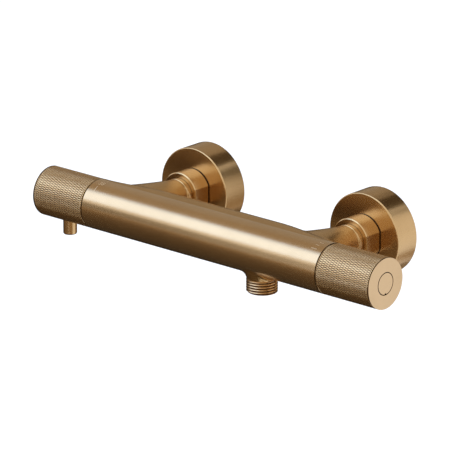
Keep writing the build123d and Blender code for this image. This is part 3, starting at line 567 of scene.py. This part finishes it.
def lay_on_bar(piece, x, angle):
    """Wrap a flat mesh in XY round the bar, centred at x and at an angle up from the front."""
    for corner in piece.data.vertices:
        along, up, proud = corner.co
        turn = radians(angle) + up / BAR_RADIUS
        radius = BAR_RADIUS - MARK_SINK + proud
        corner.co = Vector((x + along, AXIS_Y - radius * cos(turn), radius * sin(turn)))


def finish_mark(piece, name, x, angle):
    """Give a flat mark a thin closed body and a name, and lay it on the bar."""
    take(piece)
    wall = piece.modifiers.new("thickness", "SOLIDIFY")
    wall.thickness = MARK_SINK + MARK_LIFT
    wall.offset = 1.0
    bpy.ops.object.modifier_apply(modifier=wall.name)
    settle(piece, name)
    lay_on_bar(piece, x, angle)
    finish_mesh(piece)
    return piece


print("marks stand", round(MARK_LIFT / MM, 2), "mm above the bar")

# %% [markdown]
# The number is typed and turned into a mesh. A bar starts as a disc: one half of it is moved away,
# which leaves a strip with two round ends, and the strip is cut across so that it can bend.

# %% Etched marks
DIGIT_SHARE = 0.7
DIGIT_WEIGHT = 0.05 * MM
BAR_CUTS = 12


def etched_number(name, digits, height, x, angle):
    """Digits etched on the bar, read along it."""
    clear_selection()
    bpy.ops.object.text_add(location=(0.0, 0.0, 0.0))
    text = bpy.context.object
    text.data.body = digits
    text.data.align_x = "CENTER"
    text.data.align_y = "CENTER"
    text.data.size = height / DIGIT_SHARE
    text.data.offset = DIGIT_WEIGHT
    bpy.ops.object.convert(target="MESH")
    text = bpy.context.object
    bpy.ops.object.mode_set(mode="EDIT")
    bpy.ops.mesh.select_all(action="SELECT")
    bpy.ops.mesh.remove_doubles(threshold=MICRON)
    bpy.ops.mesh.quads_convert_to_tris()
    bpy.ops.mesh.subdivide(number_cuts=2)
    bpy.ops.object.mode_set(mode="OBJECT")
    return finish_mark(text, name, x, angle)


def etched_bar(name, length, width, x, angle, around):
    """Short etched bar with rounded ends, along the bar or round it."""
    clear_selection()
    bpy.ops.mesh.primitive_circle_add(vertices=24, radius=width / 2, fill_type="NGON")
    bar = bpy.context.object
    bpy.ops.object.mode_set(mode="EDIT")
    pick(bar, lambda v, c: (c.y if around else c.x) > 0.0)
    way = Vector((0.0, 1.0, 0.0)) if around else Vector((1.0, 0.0, 0.0))
    reach = way * (length - width)
    bpy.ops.transform.translate(value=reach)
    bpy.ops.mesh.select_all(action="SELECT")
    bpy.ops.transform.translate(value=-reach / 2)
    for step in range(1, BAR_CUTS):
        bpy.ops.mesh.select_all(action="SELECT")
        bpy.ops.mesh.bisect(
            plane_co=reach * (step / BAR_CUTS - 0.5), plane_no=way, threshold=MICRON)
    bpy.ops.object.mode_set(mode="OBJECT")
    return finish_mark(bar, name, x, angle)


marks = [
    etched_bar("set_mark", 4.6 * MM, 0.55 * MM, -96.1 * MM, 57.5, True),
    etched_number("set_number", "38", 3.4 * MM, -95.2 * MM, 75.5),
    etched_bar("top_mark", 3.4 * MM, 0.5 * MM, -94.0 * MM, 94.5, True),
    etched_bar("flow_mark_1", 4.8 * MM, 0.5 * MM, 95.0 * MM, 58.0, False),
    etched_bar("flow_mark_2", 2.9 * MM, 0.5 * MM, 95.1 * MM, 70.0, False),
    etched_bar("flow_mark_3", 3.1 * MM, 0.5 * MM, 96.2 * MM, 80.0, False),
]
for mark in marks:
    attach(mark, "mixer_body")

# %% [markdown]
# ## Finishes
# The metal is brass with a satin bronze plating under a clear lacquer. The lacquer gives the pale
# glints, the plating the warm ones. Four shared groups do the fine work, and each finish places
# them with its own values. These helpers keep the groups short: one starts a group, one adds a
# node with its values, one links sockets.

# %% Helpers for nodes
FLOAT, VECTOR, COLOUR = "NodeSocketFloat", "NodeSocketVector", "NodeSocketColor"
COLOUR_A, COLOUR_B, COLOUR_OUT = 6, 7, 2
VECTOR_A, VECTOR_B, VECTOR_OUT = 4, 5, 1


def new_group(name, inputs, outputs):
    """An empty shader group with named sockets, its input node and its output node."""
    group = bpy.data.node_groups.new(name, "ShaderNodeTree")
    for label, kind, value in inputs:
        socket = group.interface.new_socket(label, in_out="INPUT", socket_type=kind)
        socket.default_value = value
    for label, kind in outputs:
        group.interface.new_socket(label, in_out="OUTPUT", socket_type=kind)
    print("group:", name, "gives", [label for label, kind in outputs])
    return group, group.nodes.new("NodeGroupInput"), group.nodes.new("NodeGroupOutput")


def set_inputs(node, values):
    """Set some of a node's own input values."""
    for socket, value in values.items():
        node.inputs[socket].default_value = value


def add_node(tree, kind, operation=None, values=None):
    """Add a shader node, choose its operation and set some of its inputs."""
    node = tree.nodes.new("ShaderNode" + kind)
    if operation:
        node.operation = operation
    set_inputs(node, values or {})
    return node


def add_mix(tree, data_type):
    """Add a node that mixes two colours or two vectors."""
    node = tree.nodes.new("ShaderNodeMix")
    node.data_type = data_type
    return node


def place_group(tree, group, values):
    """Place a shared group in a material, with the material's own values."""
    node = tree.nodes.new("ShaderNodeGroup")
    node.node_tree = group
    set_inputs(node, values)
    return node


def wire(tree, *pairs):
    """Link each output socket to its input socket."""
    for source, target in pairs:
        tree.links.new(source, target)


print("a mix of colours has its inputs at", (COLOUR_A, COLOUR_B), "of vectors at",
      (VECTOR_A, VECTOR_B))

# %% [markdown]
# A buffing belt leaves hair-thin lines in the plating. An image could show them, but noise that is
# stretched along the lines fits every piece and needs no unwrapping. It goes out twice: as a height
# for a bump, and as a small change of the roughness.

# %% Brushing group


def brushing_group():
    """Hair lines: stretched noise, as a height and as a change of roughness."""
    group, given, made = new_group(
        "brushing",
        [("Stretch", VECTOR, (1.0, 1.0, 1.0)), ("Roughness", FLOAT, 0.3), ("Amount", FLOAT, 0.06)],
        [("Height", FLOAT), ("Roughness", FLOAT)],
    )
    place = add_node(group, "TexCoord")
    stretch = add_node(group, "VectorMath", "MULTIPLY")
    hair = add_node(group, "TexNoise", values={"Scale": 1.0, "Detail": 3.0})
    centre = add_node(group, "Math", "SUBTRACT", {1: 0.5})
    change = add_node(group, "Math", "MULTIPLY_ADD")
    wire(
        group,
        (place.outputs["Object"], stretch.inputs[0]),
        (given.outputs["Stretch"], stretch.inputs[1]),
        (stretch.outputs[0], hair.inputs["Vector"]),
        (hair.outputs["Fac"], centre.inputs[0]),
        (centre.outputs[0], change.inputs[0]),
        (given.outputs["Amount"], change.inputs[1]),
        (given.outputs["Roughness"], change.inputs[2]),
        (hair.outputs["Fac"], made.inputs["Height"]),
        (change.outputs[0], made.inputs["Roughness"]),
    )
    return group


BRUSHING = brushing_group()

# %% [markdown]
# Hands and hard water leave faint clouds, so one flat colour would look like plastic. A broad, soft
# noise drifts between a light and a dark tone of the same metal.

# %% Clouds group


def clouds_group():
    """Faint clouds of handling: the plating's colour drifts between two tones."""
    group, given, made = new_group(
        "handling_clouds",
        [("Light tone", COLOUR, (0.6, 0.4, 0.2, 1.0)), ("Dark tone", COLOUR, (0.5, 0.3, 0.1, 1.0)),
         ("Scale", FLOAT, 40.0)],
        [("Color", COLOUR), ("Mask", FLOAT)],
    )
    place = add_node(group, "TexCoord")
    cloud = add_node(group, "TexNoise", values={"Detail": 4.0, "Roughness": 0.6})
    spread = add_node(group, "MapRange", values={"From Min": 0.35, "From Max": 0.65})
    mix = add_mix(group, "RGBA")
    wire(
        group,
        (place.outputs["Object"], cloud.inputs["Vector"]),
        (given.outputs["Scale"], cloud.inputs["Scale"]),
        (cloud.outputs["Fac"], spread.inputs["Value"]),
        (spread.outputs["Result"], mix.inputs["Factor"]),
        (given.outputs["Dark tone"], mix.inputs[COLOUR_A]),
        (given.outputs["Light tone"], mix.inputs[COLOUR_B]),
        (mix.outputs[COLOUR_OUT], made.inputs["Color"]),
        (spread.outputs["Result"], made.inputs["Mask"]),
    )
    return group


CLOUDS = clouds_group()

# %% [markdown]
# Grooves, seams and the roots of a thread get painted shade: they are tinted darker, standing in
# for the shade that falls into them. It could be painted face by face. It is enough to measure how
# far a point stands from an axis, as the bottom of a groove always lies nearer to it than the crest,
# or further out at a seam.

# %% Groove shade mask group


def groove_shade_mask_group():
    """Mask for painted shade by distance from an axis: 0 in the grooves, 1 on the crests."""
    group, given, made = new_group(
        "crests",
        [("Axis", VECTOR, (0.0, 0.0, 0.0)), ("Across", VECTOR, (0.0, 1.0, 1.0)),
         ("Groove radius", FLOAT, 0.0), ("Crest radius", FLOAT, 1.0)],
        [("Mask", FLOAT)],
    )
    place = add_node(group, "TexCoord")
    offset = add_node(group, "VectorMath", "SUBTRACT")
    flat = add_node(group, "VectorMath", "MULTIPLY")
    reach = add_node(group, "VectorMath", "LENGTH")
    share = add_node(group, "MapRange")
    wire(
        group,
        (place.outputs["Object"], offset.inputs[0]),
        (given.outputs["Axis"], offset.inputs[1]),
        (offset.outputs[0], flat.inputs[0]),
        (given.outputs["Across"], flat.inputs[1]),
        (flat.outputs[0], reach.inputs[0]),
        (reach.outputs["Value"], share.inputs["Value"]),
        (given.outputs["Groove radius"], share.inputs["From Min"]),
        (given.outputs["Crest radius"], share.inputs["From Max"]),
        (share.outputs["Result"], made.inputs["Mask"]),
    )
    return group


GROOVE_SHADE_MASK = groove_shade_mask_group()

# %% [markdown]
# The working mesh of the bar is made of long flat strips, and a long highlight would show every one
# of them. Its vertices may not be moved, but a round bar's true normal is known: it points straight
# away from the axis. The group gives that normal on the bar, and fades into the mesh's own normal
# where the flares begin.

# %% Round bar group


def round_bar_group():
    """The true normal of the round bar, faded into the mesh's own normal at the flares."""
    group, given, made = new_group(
        "round_bar",
        [("Axis", VECTOR, (0.0, 0.0, 0.0)), ("Inside", FLOAT, 0.9),
         ("Radius", FLOAT, 1.0), ("Outside", FLOAT, 1.1)],
        [("Normal", VECTOR), ("Mask", FLOAT)],
    )
    place = add_node(group, "TexCoord")
    offset = add_node(group, "VectorMath", "SUBTRACT")
    spoke = add_node(group, "VectorMath", "MULTIPLY", {1: (0.0, 1.0, 1.0)})
    reach = add_node(group, "VectorMath", "LENGTH")
    beyond = add_node(group, "MapRange", values={"To Min": 1.0, "To Max": 0.0})
    within = add_node(group, "Math", "GREATER_THAN")
    share = add_node(group, "Math", "MULTIPLY")
    turn = add_node(group, "VectorTransform")
    turn.vector_type = "NORMAL"
    turn.convert_from = "OBJECT"
    turn.convert_to = "WORLD"
    own = add_node(group, "NewGeometry")
    mix = add_mix(group, "VECTOR")
    wire(
        group,
        (place.outputs["Object"], offset.inputs[0]),
        (given.outputs["Axis"], offset.inputs[1]),
        (offset.outputs[0], spoke.inputs[0]),
        (spoke.outputs[0], reach.inputs[0]),
        (reach.outputs["Value"], beyond.inputs["Value"]),
        (given.outputs["Radius"], beyond.inputs["From Min"]),
        (given.outputs["Outside"], beyond.inputs["From Max"]),
        (reach.outputs["Value"], within.inputs[0]),
        (given.outputs["Inside"], within.inputs[1]),
        (beyond.outputs["Result"], share.inputs[0]),
        (within.outputs[0], share.inputs[1]),
        (spoke.outputs[0], turn.inputs[0]),
        (share.outputs[0], mix.inputs["Factor"]),
        (own.outputs["Normal"], mix.inputs[VECTOR_A]),
        (turn.outputs[0], mix.inputs[VECTOR_B]),
        (mix.outputs[VECTOR_OUT], made.inputs["Normal"]),
        (share.outputs[0], made.inputs["Mask"]),
    )
    return group


ROUND_BAR_NORMAL = round_bar_group()

# %% [markdown]
# A finish is a Principled BSDF. The clouds feed its colour, and the hair lines its roughness and its
# bump. What is the same all over, such as the lacquer, is set on the shader's own sockets. A finish
# with grooves or on the round bar gets one of the other two groups as well.

# %% Make a finish
CLOUD_SCALE = 40.0
HAIR_DEPTH = 0.05 * MM
BAR_AXIS = (0.0, AXIS_Y, 0.0)


def make_finish(name, light, dark, metallic, roughness, stretch, amount=0.06, bump=0.02,
                coat=0.0, coat_ior=1.5, coat_roughness=0.1):
    """Material from the brushing and clouds groups and a Principled BSDF."""
    finish = bpy.data.materials.new(name)
    finish.use_nodes = True
    tree = finish.node_tree
    shader = tree.nodes["Principled BSDF"]
    set_inputs(shader, {"Metallic": metallic, "Coat Weight": coat, "Coat IOR": coat_ior,
                        "Coat Roughness": coat_roughness})
    clouds = place_group(tree, CLOUDS, {
        "Light tone": (*light, 1.0), "Dark tone": (*dark, 1.0), "Scale": CLOUD_SCALE})
    lines = place_group(tree, BRUSHING, {
        "Stretch": stretch, "Roughness": roughness, "Amount": amount})
    relief = add_node(tree, "Bump", values={"Strength": bump, "Distance": HAIR_DEPTH})
    wire(
        tree,
        (clouds.outputs["Color"], shader.inputs["Base Color"]),
        (lines.outputs["Roughness"], shader.inputs["Roughness"]),
        (lines.outputs["Height"], relief.inputs["Height"]),
        (relief.outputs["Normal"], shader.inputs["Normal"]),
    )
    print("finish:", name)
    return finish


def paint_groove_shade(finish, axis, across, groove, crest, tint, lacquer_share=1.0):
    """Paint shade into a finish's grooves and seams: a dark tint, and less lacquer to glint there.
    """
    tree = finish.node_tree
    shader = tree.nodes["Principled BSDF"]
    colour = shader.inputs["Base Color"].links[0].from_socket
    crests = place_group(tree, GROOVE_SHADE_MASK, {
        "Axis": axis, "Across": across, "Groove radius": groove, "Crest radius": crest})
    mix = add_mix(tree, "RGBA")
    mix.inputs[COLOUR_A].default_value = (*tint, 1.0)
    weight = add_node(tree, "Math", "MULTIPLY", {1: lacquer_share})
    wire(
        tree,
        (crests.outputs["Mask"], mix.inputs["Factor"]),
        (colour, mix.inputs[COLOUR_B]),
        (mix.outputs[COLOUR_OUT], shader.inputs["Base Color"]),
        (crests.outputs["Mask"], weight.inputs[0]),
        (weight.outputs[0], shader.inputs["Coat Weight"]),
    )


def follow_bar(finish):
    """Shade the bar as a true cylinder, and keep the lacquer off the flares."""
    tree = finish.node_tree
    true_normal = place_group(tree, ROUND_BAR_NORMAL, {
        "Axis": BAR_AXIS, "Inside": 16.7 * MM, "Radius": 17.115 * MM, "Outside": 17.17 * MM})
    lacquered = add_node(tree, "Math", "MINIMUM")
    weight = tree.nodes["Principled BSDF"].inputs["Coat Weight"]
    wire(
        tree,
        (true_normal.outputs["Normal"], tree.nodes["Bump"].inputs["Normal"]),
        (weight.links[0].from_socket, lacquered.inputs[0]),
        (true_normal.outputs["Mask"], lacquered.inputs[1]),
        (lacquered.outputs[0], weight),
    )


print("hair lines are", round(HAIR_DEPTH / MM, 2), "mm deep, bar axis", BAR_AXIS)

# %% [markdown]
# All the bronze is one plating, but each piece was buffed in its own way, so the same tones get a
# different roughness and a different way of the lines. Lines round the bar's axis are drawn close
# along X, and lines round an escutcheon or a nut close along Y.

# %% Bronze finishes
BRONZE_LIGHT = (0.60, 0.385, 0.17)
BRONZE_DARK = (0.565, 0.358, 0.152)
ROUND_X = (6000.0, 90.0, 90.0)
ROUND_Y = (90.0, 6000.0, 90.0)
FINE = (900.0, 900.0, 900.0)


def bronze(name, roughness, stretch, bump=0.002, coat=1.0):
    """One of the bronze finishes under the same clear lacquer."""
    return make_finish(
        name, BRONZE_LIGHT, BRONZE_DARK, 1.0, roughness, stretch, amount=0.02, bump=bump,
        coat=coat, coat_ior=1.8, coat_roughness=0.2)


bar_bronze = bronze("bar_bronze", 0.26, ROUND_X)
turned_bronze = bronze("turned_bronze", 0.24, ROUND_Y, coat=0.4)
nut_bronze = bronze("nut_bronze", 0.24, ROUND_Y)
end_bronze = bronze("end_bronze", 0.28, ROUND_X, bump=0.0)
cap_bronze = bronze("cap_bronze", 0.28, ROUND_X, bump=0.0)
knurled_bronze = bronze("knurled_bronze", 0.23, FINE)
threaded_bronze = bronze("threaded_bronze", 0.26, FINE)

# %% [markdown]
# The painted shade comes next, dark lines where shade falls: both ends of the bar at the seams, the
# joint between a nut and its escutcheon, the ring round a cap, the grooves of the knurl and the
# roots of the outlet's thread. Each is given by an axis, the ways that count across it, and the two
# radii between which it fades.

# %% Painted shade in grooves and seams
THREAD_ROOT_SHADE = (0.16, 0.085, 0.03)
KNURL_GROOVE_SHADE = (0.10, 0.055, 0.02)
SEAM_SHADE = (0.07, 0.035, 0.012)
ALONG_X, ALONG_Y = (1.0, 0.0, 0.0), (0.0, 1.0, 0.0)
ACROSS_BAR, ACROSS_OUTLET = (0.0, 1.0, 1.0), (1.0, 1.0, 0.0)
BAR_CENTRE = (0.0, 0.0, 0.0)
NUT_JOINT = (0.0, -19.6 * MM, 0.0)
# Painted shade: both ends of the bar at the seams are tinted dark, for the shade in the gap.
paint_groove_shade(bar_bronze, BAR_CENTRE, ALONG_X, 102.2 * MM, 102.0 * MM, SEAM_SHADE)
follow_bar(bar_bronze)
# Painted shade: the nut's back rim at its escutcheon is tinted dark, a painted contact shadow.
paint_groove_shade(nut_bronze, NUT_JOINT, ALONG_Y, 0.45 * MM, 0.6 * MM, SEAM_SHADE, 0.4)
# Painted shade: the rim of each cap is tinted dark, for the shade in the gap round it.
paint_groove_shade(cap_bronze, BAR_AXIS, ACROSS_BAR, 7.16 * MM, 7.06 * MM, SEAM_SHADE)
# Painted shade: all of the knurled slot inside 16.94 mm is tinted dark with less lacquer: the
# knurl's grooves, the edge groove, the cap recess, the bore and the face at the seam.
paint_groove_shade(knurled_bronze, BAR_AXIS, ACROSS_BAR, 16.94 * MM, 17.01 * MM, KNURL_GROOVE_SHADE, 0.55)
# Painted shade: the outlet thread's roots, and its neck and bore inside 9.5 mm, are tinted dark with
# less lacquer.
paint_groove_shade(threaded_bronze, tuple(OUTLET), ACROSS_OUTLET, 9.5 * MM, 10.2 * MM, THREAD_ROOT_SHADE)
print("darkened:", GROOVE_SHADE_MASK.users, "finishes")

# %% [markdown]
# The marks are etched through the lacquer, so they are paler and duller than the bar. The pieces
# inside are of other materials: plain brass, stainless steel, white acetal, black rubber, fibre
# washers and polished ceramic. They are seen when the part is taken apart.

# %% Other finishes
etched = make_finish(
    "etched", (0.70, 0.52, 0.33), (0.64, 0.47, 0.28), 0.8, 0.5, FINE, amount=0.1)
raw_brass = make_finish(
    "raw_brass", (0.72, 0.52, 0.24), (0.62, 0.44, 0.19), 1.0, 0.32, FINE, amount=0.12)
steel = make_finish(
    "steel", (0.62, 0.61, 0.60), (0.5, 0.49, 0.48), 1.0, 0.3, FINE, amount=0.1)
acetal = make_finish(
    "acetal", (0.78, 0.78, 0.75), (0.7, 0.7, 0.67), 0.0, 0.45, FINE, bump=0.05)
rubber = make_finish(
    "rubber", (0.03, 0.03, 0.03), (0.018, 0.018, 0.018), 0.0, 0.65, FINE, bump=0.08)
fibre = make_finish(
    "fibre", (0.21, 0.23, 0.21), (0.16, 0.18, 0.16), 0.0, 0.8, FINE, bump=0.2)
ceramic = make_finish(
    "ceramic", (0.8, 0.79, 0.76), (0.72, 0.71, 0.69), 0.0, 0.2, FINE)

# %% [markdown]
# ## Dress the working pieces
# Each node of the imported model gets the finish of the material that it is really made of. Sides
# repeat, so the names of the two inlets and of the two handles are put together here.

# %% Dress the working pieces


def dress(finish, names):
    """Give the named working pieces one finish."""
    for name in names:
        slots = nodes[name].data.materials
        if not slots:
            slots.append(finish)
        for index in range(len(slots)):
            slots[index] = finish


def both(*names):
    """The hot and the cold piece of each name."""
    return [f"{side}_{name}" for name in names for side in ("hot", "cold")]


def each_handle(*names):
    """The temperature and the flow piece of each name."""
    return [f"{side}_{name}" for name in names for side in ("temperature", "flow")]


dress(bar_bronze, ["valve_body"])
dress(end_bronze, each_handle("handle"))
dress(cap_bronze, each_handle("handle_cap"))
dress(turned_bronze, both("escutcheon", "connector", "eccentric_union") + ["stop_button"])
dress(nut_bronze, both("union_nut"))
dress(threaded_bronze, ["outlet_nipple"])
dress(raw_brass, each_handle("spindle") + [
    "cartridge_housing", "cartridge_retaining_nut", "headwork_body", "wax_element"])
dress(steel, both("strainer", "check_valve_spring") + each_handle("handle_screw", "spindle_clip") + [
    "overtravel_spring", "return_spring", "stop_button_spring"])
dress(acetal, both("check_valve_barrel", "check_valve_poppet") + each_handle("hub") + [
    "adjusting_sleeve", "temperature_stop_ring", "regulating_slide"])
dress(rubber, both("wall_seal") + ["cartridge_rings", "headwork_rings", "headwork_seat_seal"])
dress(fibre, both("union_washer"))
dress(ceramic, ["fixed_ceramic_disc", "moving_ceramic_disc"])
bare = [name for name, piece in nodes.items() if not piece.data.materials[0].use_nodes]
print("nodes left without a finish:", bare)

# %% [markdown]
# The pieces modelled in this lesson are dressed last. A handle keeps its two slots, for the smooth
# end face and for the knurl.

# %% Dress the new pieces
for finish, pieces in (
    (threaded_bronze, [nipple]), (turned_bronze, [hot_tail, cold_tail]), (etched, marks),
):
    for piece in pieces:
        piece.data.materials.clear()
        piece.data.materials.append(finish)
        print(piece.name, "in", finish.name)
for knurl in (flow_knurl, temperature_knurl):
    knurl.data.materials[PLAIN_SLOT] = end_bronze
    knurl.data.materials[KNURLED_SLOT] = knurled_bronze
    print(knurl.name, "in", [finish.name for finish in knurl.data.materials])

# %% [markdown]
# ## Studio
# The floor is a plain pale plane well below the bar. The white comes from the floor's own colour and
# from the world as the camera sees it, not from more light on the metal. So this helper asks the
# Light Path node which rays are looking.

# %% Floor
FLOOR_LEVEL = -0.35
FLOOR_GREY = (0.86, 0.86, 0.86, 1.0)
FLOOR_LIFT = 0.3
WHITE = (1.0, 1.0, 1.0, 1.0)
clear_selection()
bpy.ops.mesh.primitive_circle_add(
    vertices=96, radius=9.0, fill_type="NGON", location=(0.0, 0.0, FLOOR_LEVEL))
floor = bpy.context.object
floor.name = "floor"


def seen_directly(tree):
    """1 for camera, glossy and transmission rays, 0 for the rest."""
    path = add_node(tree, "LightPath")
    first = add_node(tree, "Math", "MAXIMUM")
    second = add_node(tree, "Math", "MAXIMUM")
    wire(
        tree,
        (path.outputs["Is Camera Ray"], first.inputs[0]),
        (path.outputs["Is Glossy Ray"], first.inputs[1]),
        (first.outputs[0], second.inputs[0]),
        (path.outputs["Is Transmission Ray"], second.inputs[1]),
    )
    return second.outputs[0]


floor_paint = bpy.data.materials.new("pale_floor")
floor_paint.use_nodes = True
floor_tree = floor_paint.node_tree
floor_shader = floor_tree.nodes["Principled BSDF"]
set_inputs(floor_shader, {"Base Color": FLOOR_GREY, "Roughness": 0.9, "Specular IOR Level": 0.1,
                          "Emission Color": WHITE})
lift = add_node(floor_tree, "Math", "MULTIPLY", {1: FLOOR_LIFT})
wire(
    floor_tree,
    (seen_directly(floor_tree), lift.inputs[0]),
    (lift.outputs[0], floor_shader.inputs["Emission Strength"]),
)
floor.data.materials.append(floor_paint)
print("floor at", FLOOR_LEVEL)

# %% [markdown]
# The world is white where it is seen, directly or in a reflection, and a little dimmer as a light.
# The Standard view keeps its white as white, where a film-like view would turn it grey.

# %% World
SKY_AS_LIGHT = 0.85
SKY_AS_SEEN = 1.0
world = bpy.data.worlds.new("studio")
bpy.context.scene.world = world
world.use_nodes = True
sky = world.node_tree
sky_light = sky.nodes["Background"]
sky_light.inputs["Color"].default_value = WHITE
level = add_node(sky, "MapRange", values={"To Min": SKY_AS_LIGHT, "To Max": SKY_AS_SEEN})
wire(
    sky,
    (seen_directly(sky), level.inputs["Value"]),
    (level.outputs["Result"], sky_light.inputs["Strength"]),
)
bpy.context.scene.view_settings.view_transform = "Standard"
print("world level", SKY_AS_LIGHT, "to", SKY_AS_SEEN)

# %% [markdown]
# ## Light and cards
# Satin metal shows its surroundings. A wide soft box stands to the front left, above the bar, and
# its reflection is the long highlight. The white world is seen behind the box and adds to it, so
# the box is tinted blue: their sum is then warm and pale on the bronze, and doesn't clip.

# %% Box light
BAR_MIDDLE = Vector((0.0, AXIS_Y, 0.0))
KEY_WAY = Vector((-0.63, -0.44, 0.64))
KEY_DISTANCE = 1.6
KEY_FACING = Vector((0.0, 0.567, -0.824))
KEY_TINT = (0.64, 1.07, 1.88)


def box_light(name, place, facing, width, height, colour):
    """Rectangular soft light of brightness 1, its long side along X."""
    lamp = bpy.data.lights.new(name, "AREA")
    lamp.shape = "RECTANGLE"
    lamp.size = width
    lamp.size_y = height
    lamp.energy = pi * width * height
    lamp.color = colour
    light = bpy.data.objects.new(name, lamp)
    bpy.context.scene.collection.objects.link(light)
    light.location = place
    light.rotation_euler = (-facing).to_track_quat("Z", "Y").to_euler()
    print(name, "at", [round(value, 2) for value in place], "power", round(lamp.energy, 2))


box_light("front_box", BAR_MIDDLE + KEY_WAY * KEY_DISTANCE, KEY_FACING, 2.0, 1.34, KEY_TINT)

# %% [markdown]
# Pale cards overhead and behind draw the bands along the top of the bar, and brown ones below and
# in front keep its underside dark. More lamps would wash the shadows out. So the cards glow, but are
# seen only in reflections, as a photographer keeps them out of the picture, and light nothing else.
# A card's brightness can change across it, which gives a soft band.

# %% Cards
WARM = (1.0, 0.86, 0.70)
BROWN = (1.0, 0.70, 0.40)
LEVEL, UPRIGHT = 0.0, pi / 2
EVEN = (0.0, 0.0, 0.0)


def card(name, centre, size, tilt, brightness, colour, fall):
    """Flat card seen in reflections alone; its brightness falls or rises along one way."""
    clear_selection()
    bpy.ops.mesh.primitive_plane_add(size=1.0, location=centre, rotation=(tilt, 0.0, 0.0))
    board = bpy.context.object
    board.scale = (size[0], size[1], 1.0)
    bpy.ops.object.transform_apply(location=True, rotation=True, scale=True)
    board.name = name
    paint = bpy.data.materials.new(name)
    paint.use_nodes = True
    tree = paint.node_tree
    tree.nodes.remove(tree.nodes["Principled BSDF"])
    glow = add_node(tree, "Emission", values={"Color": (*colour, 1.0)})
    place = add_node(tree, "TexCoord")
    change = add_node(tree, "VectorMath", "DOT_PRODUCT", {1: fall})
    strength = add_node(tree, "Math", "ADD", {1: brightness})
    wire(
        tree,
        (place.outputs["Object"], change.inputs[0]),
        (change.outputs["Value"], strength.inputs[0]),
        (strength.outputs[0], glow.inputs["Strength"]),
        (glow.outputs[0], tree.nodes["Material Output"].inputs["Surface"]),
    )
    board.data.materials.append(paint)
    board.visible_camera = False
    board.visible_diffuse = False
    board.visible_shadow = False
    print(name, "size", size, "brightness", brightness)


for row in (
    ("low_card", (-1.2, -1.0, -0.30), (2.6, 2.6), LEVEL, 0.057, BROWN, (0.0, -0.185, 0.0)),
    ("high_card", (-1.3, 1.325, 1.3), (2.4, 1.75), LEVEL, 0.43, (1.0, 0.85, 0.66), EVEN),
    ("high_front_card", (-1.3, -0.085, 1.3), (2.4, 1.07), LEVEL, 0.42, (1.0, 0.77, 0.50), EVEN),
    ("back_card", (0.15, 1.4, 1.29), (0.9, 1.6), LEVEL, 0.08, BROWN, EVEN),
    ("ridge_card", (-1.05, 0.35, 0.17), (1.9, 0.26), UPRIGHT, 0.39, (1.0, 0.84, 0.62), EVEN),
    ("dark_card", (-1.05, 0.35, -0.155), (1.9, 0.39), UPRIGHT, 0.12, BROWN, EVEN),
    ("side_card", (0.1, 0.35, -0.025), (0.4, 0.65), UPRIGHT, 0.185, BROWN, (0.0, 0.0, -0.6)),
    ("right_card", (1.1, -1.2, -0.30), (1.9, 2.1), LEVEL, 0.35, BROWN, EVEN),
    ("front_card", (-2.8, -2.28, 0.125), (2.5, 0.95), UPRIGHT, 0.2, WARM, EVEN),
):
    card(*row)
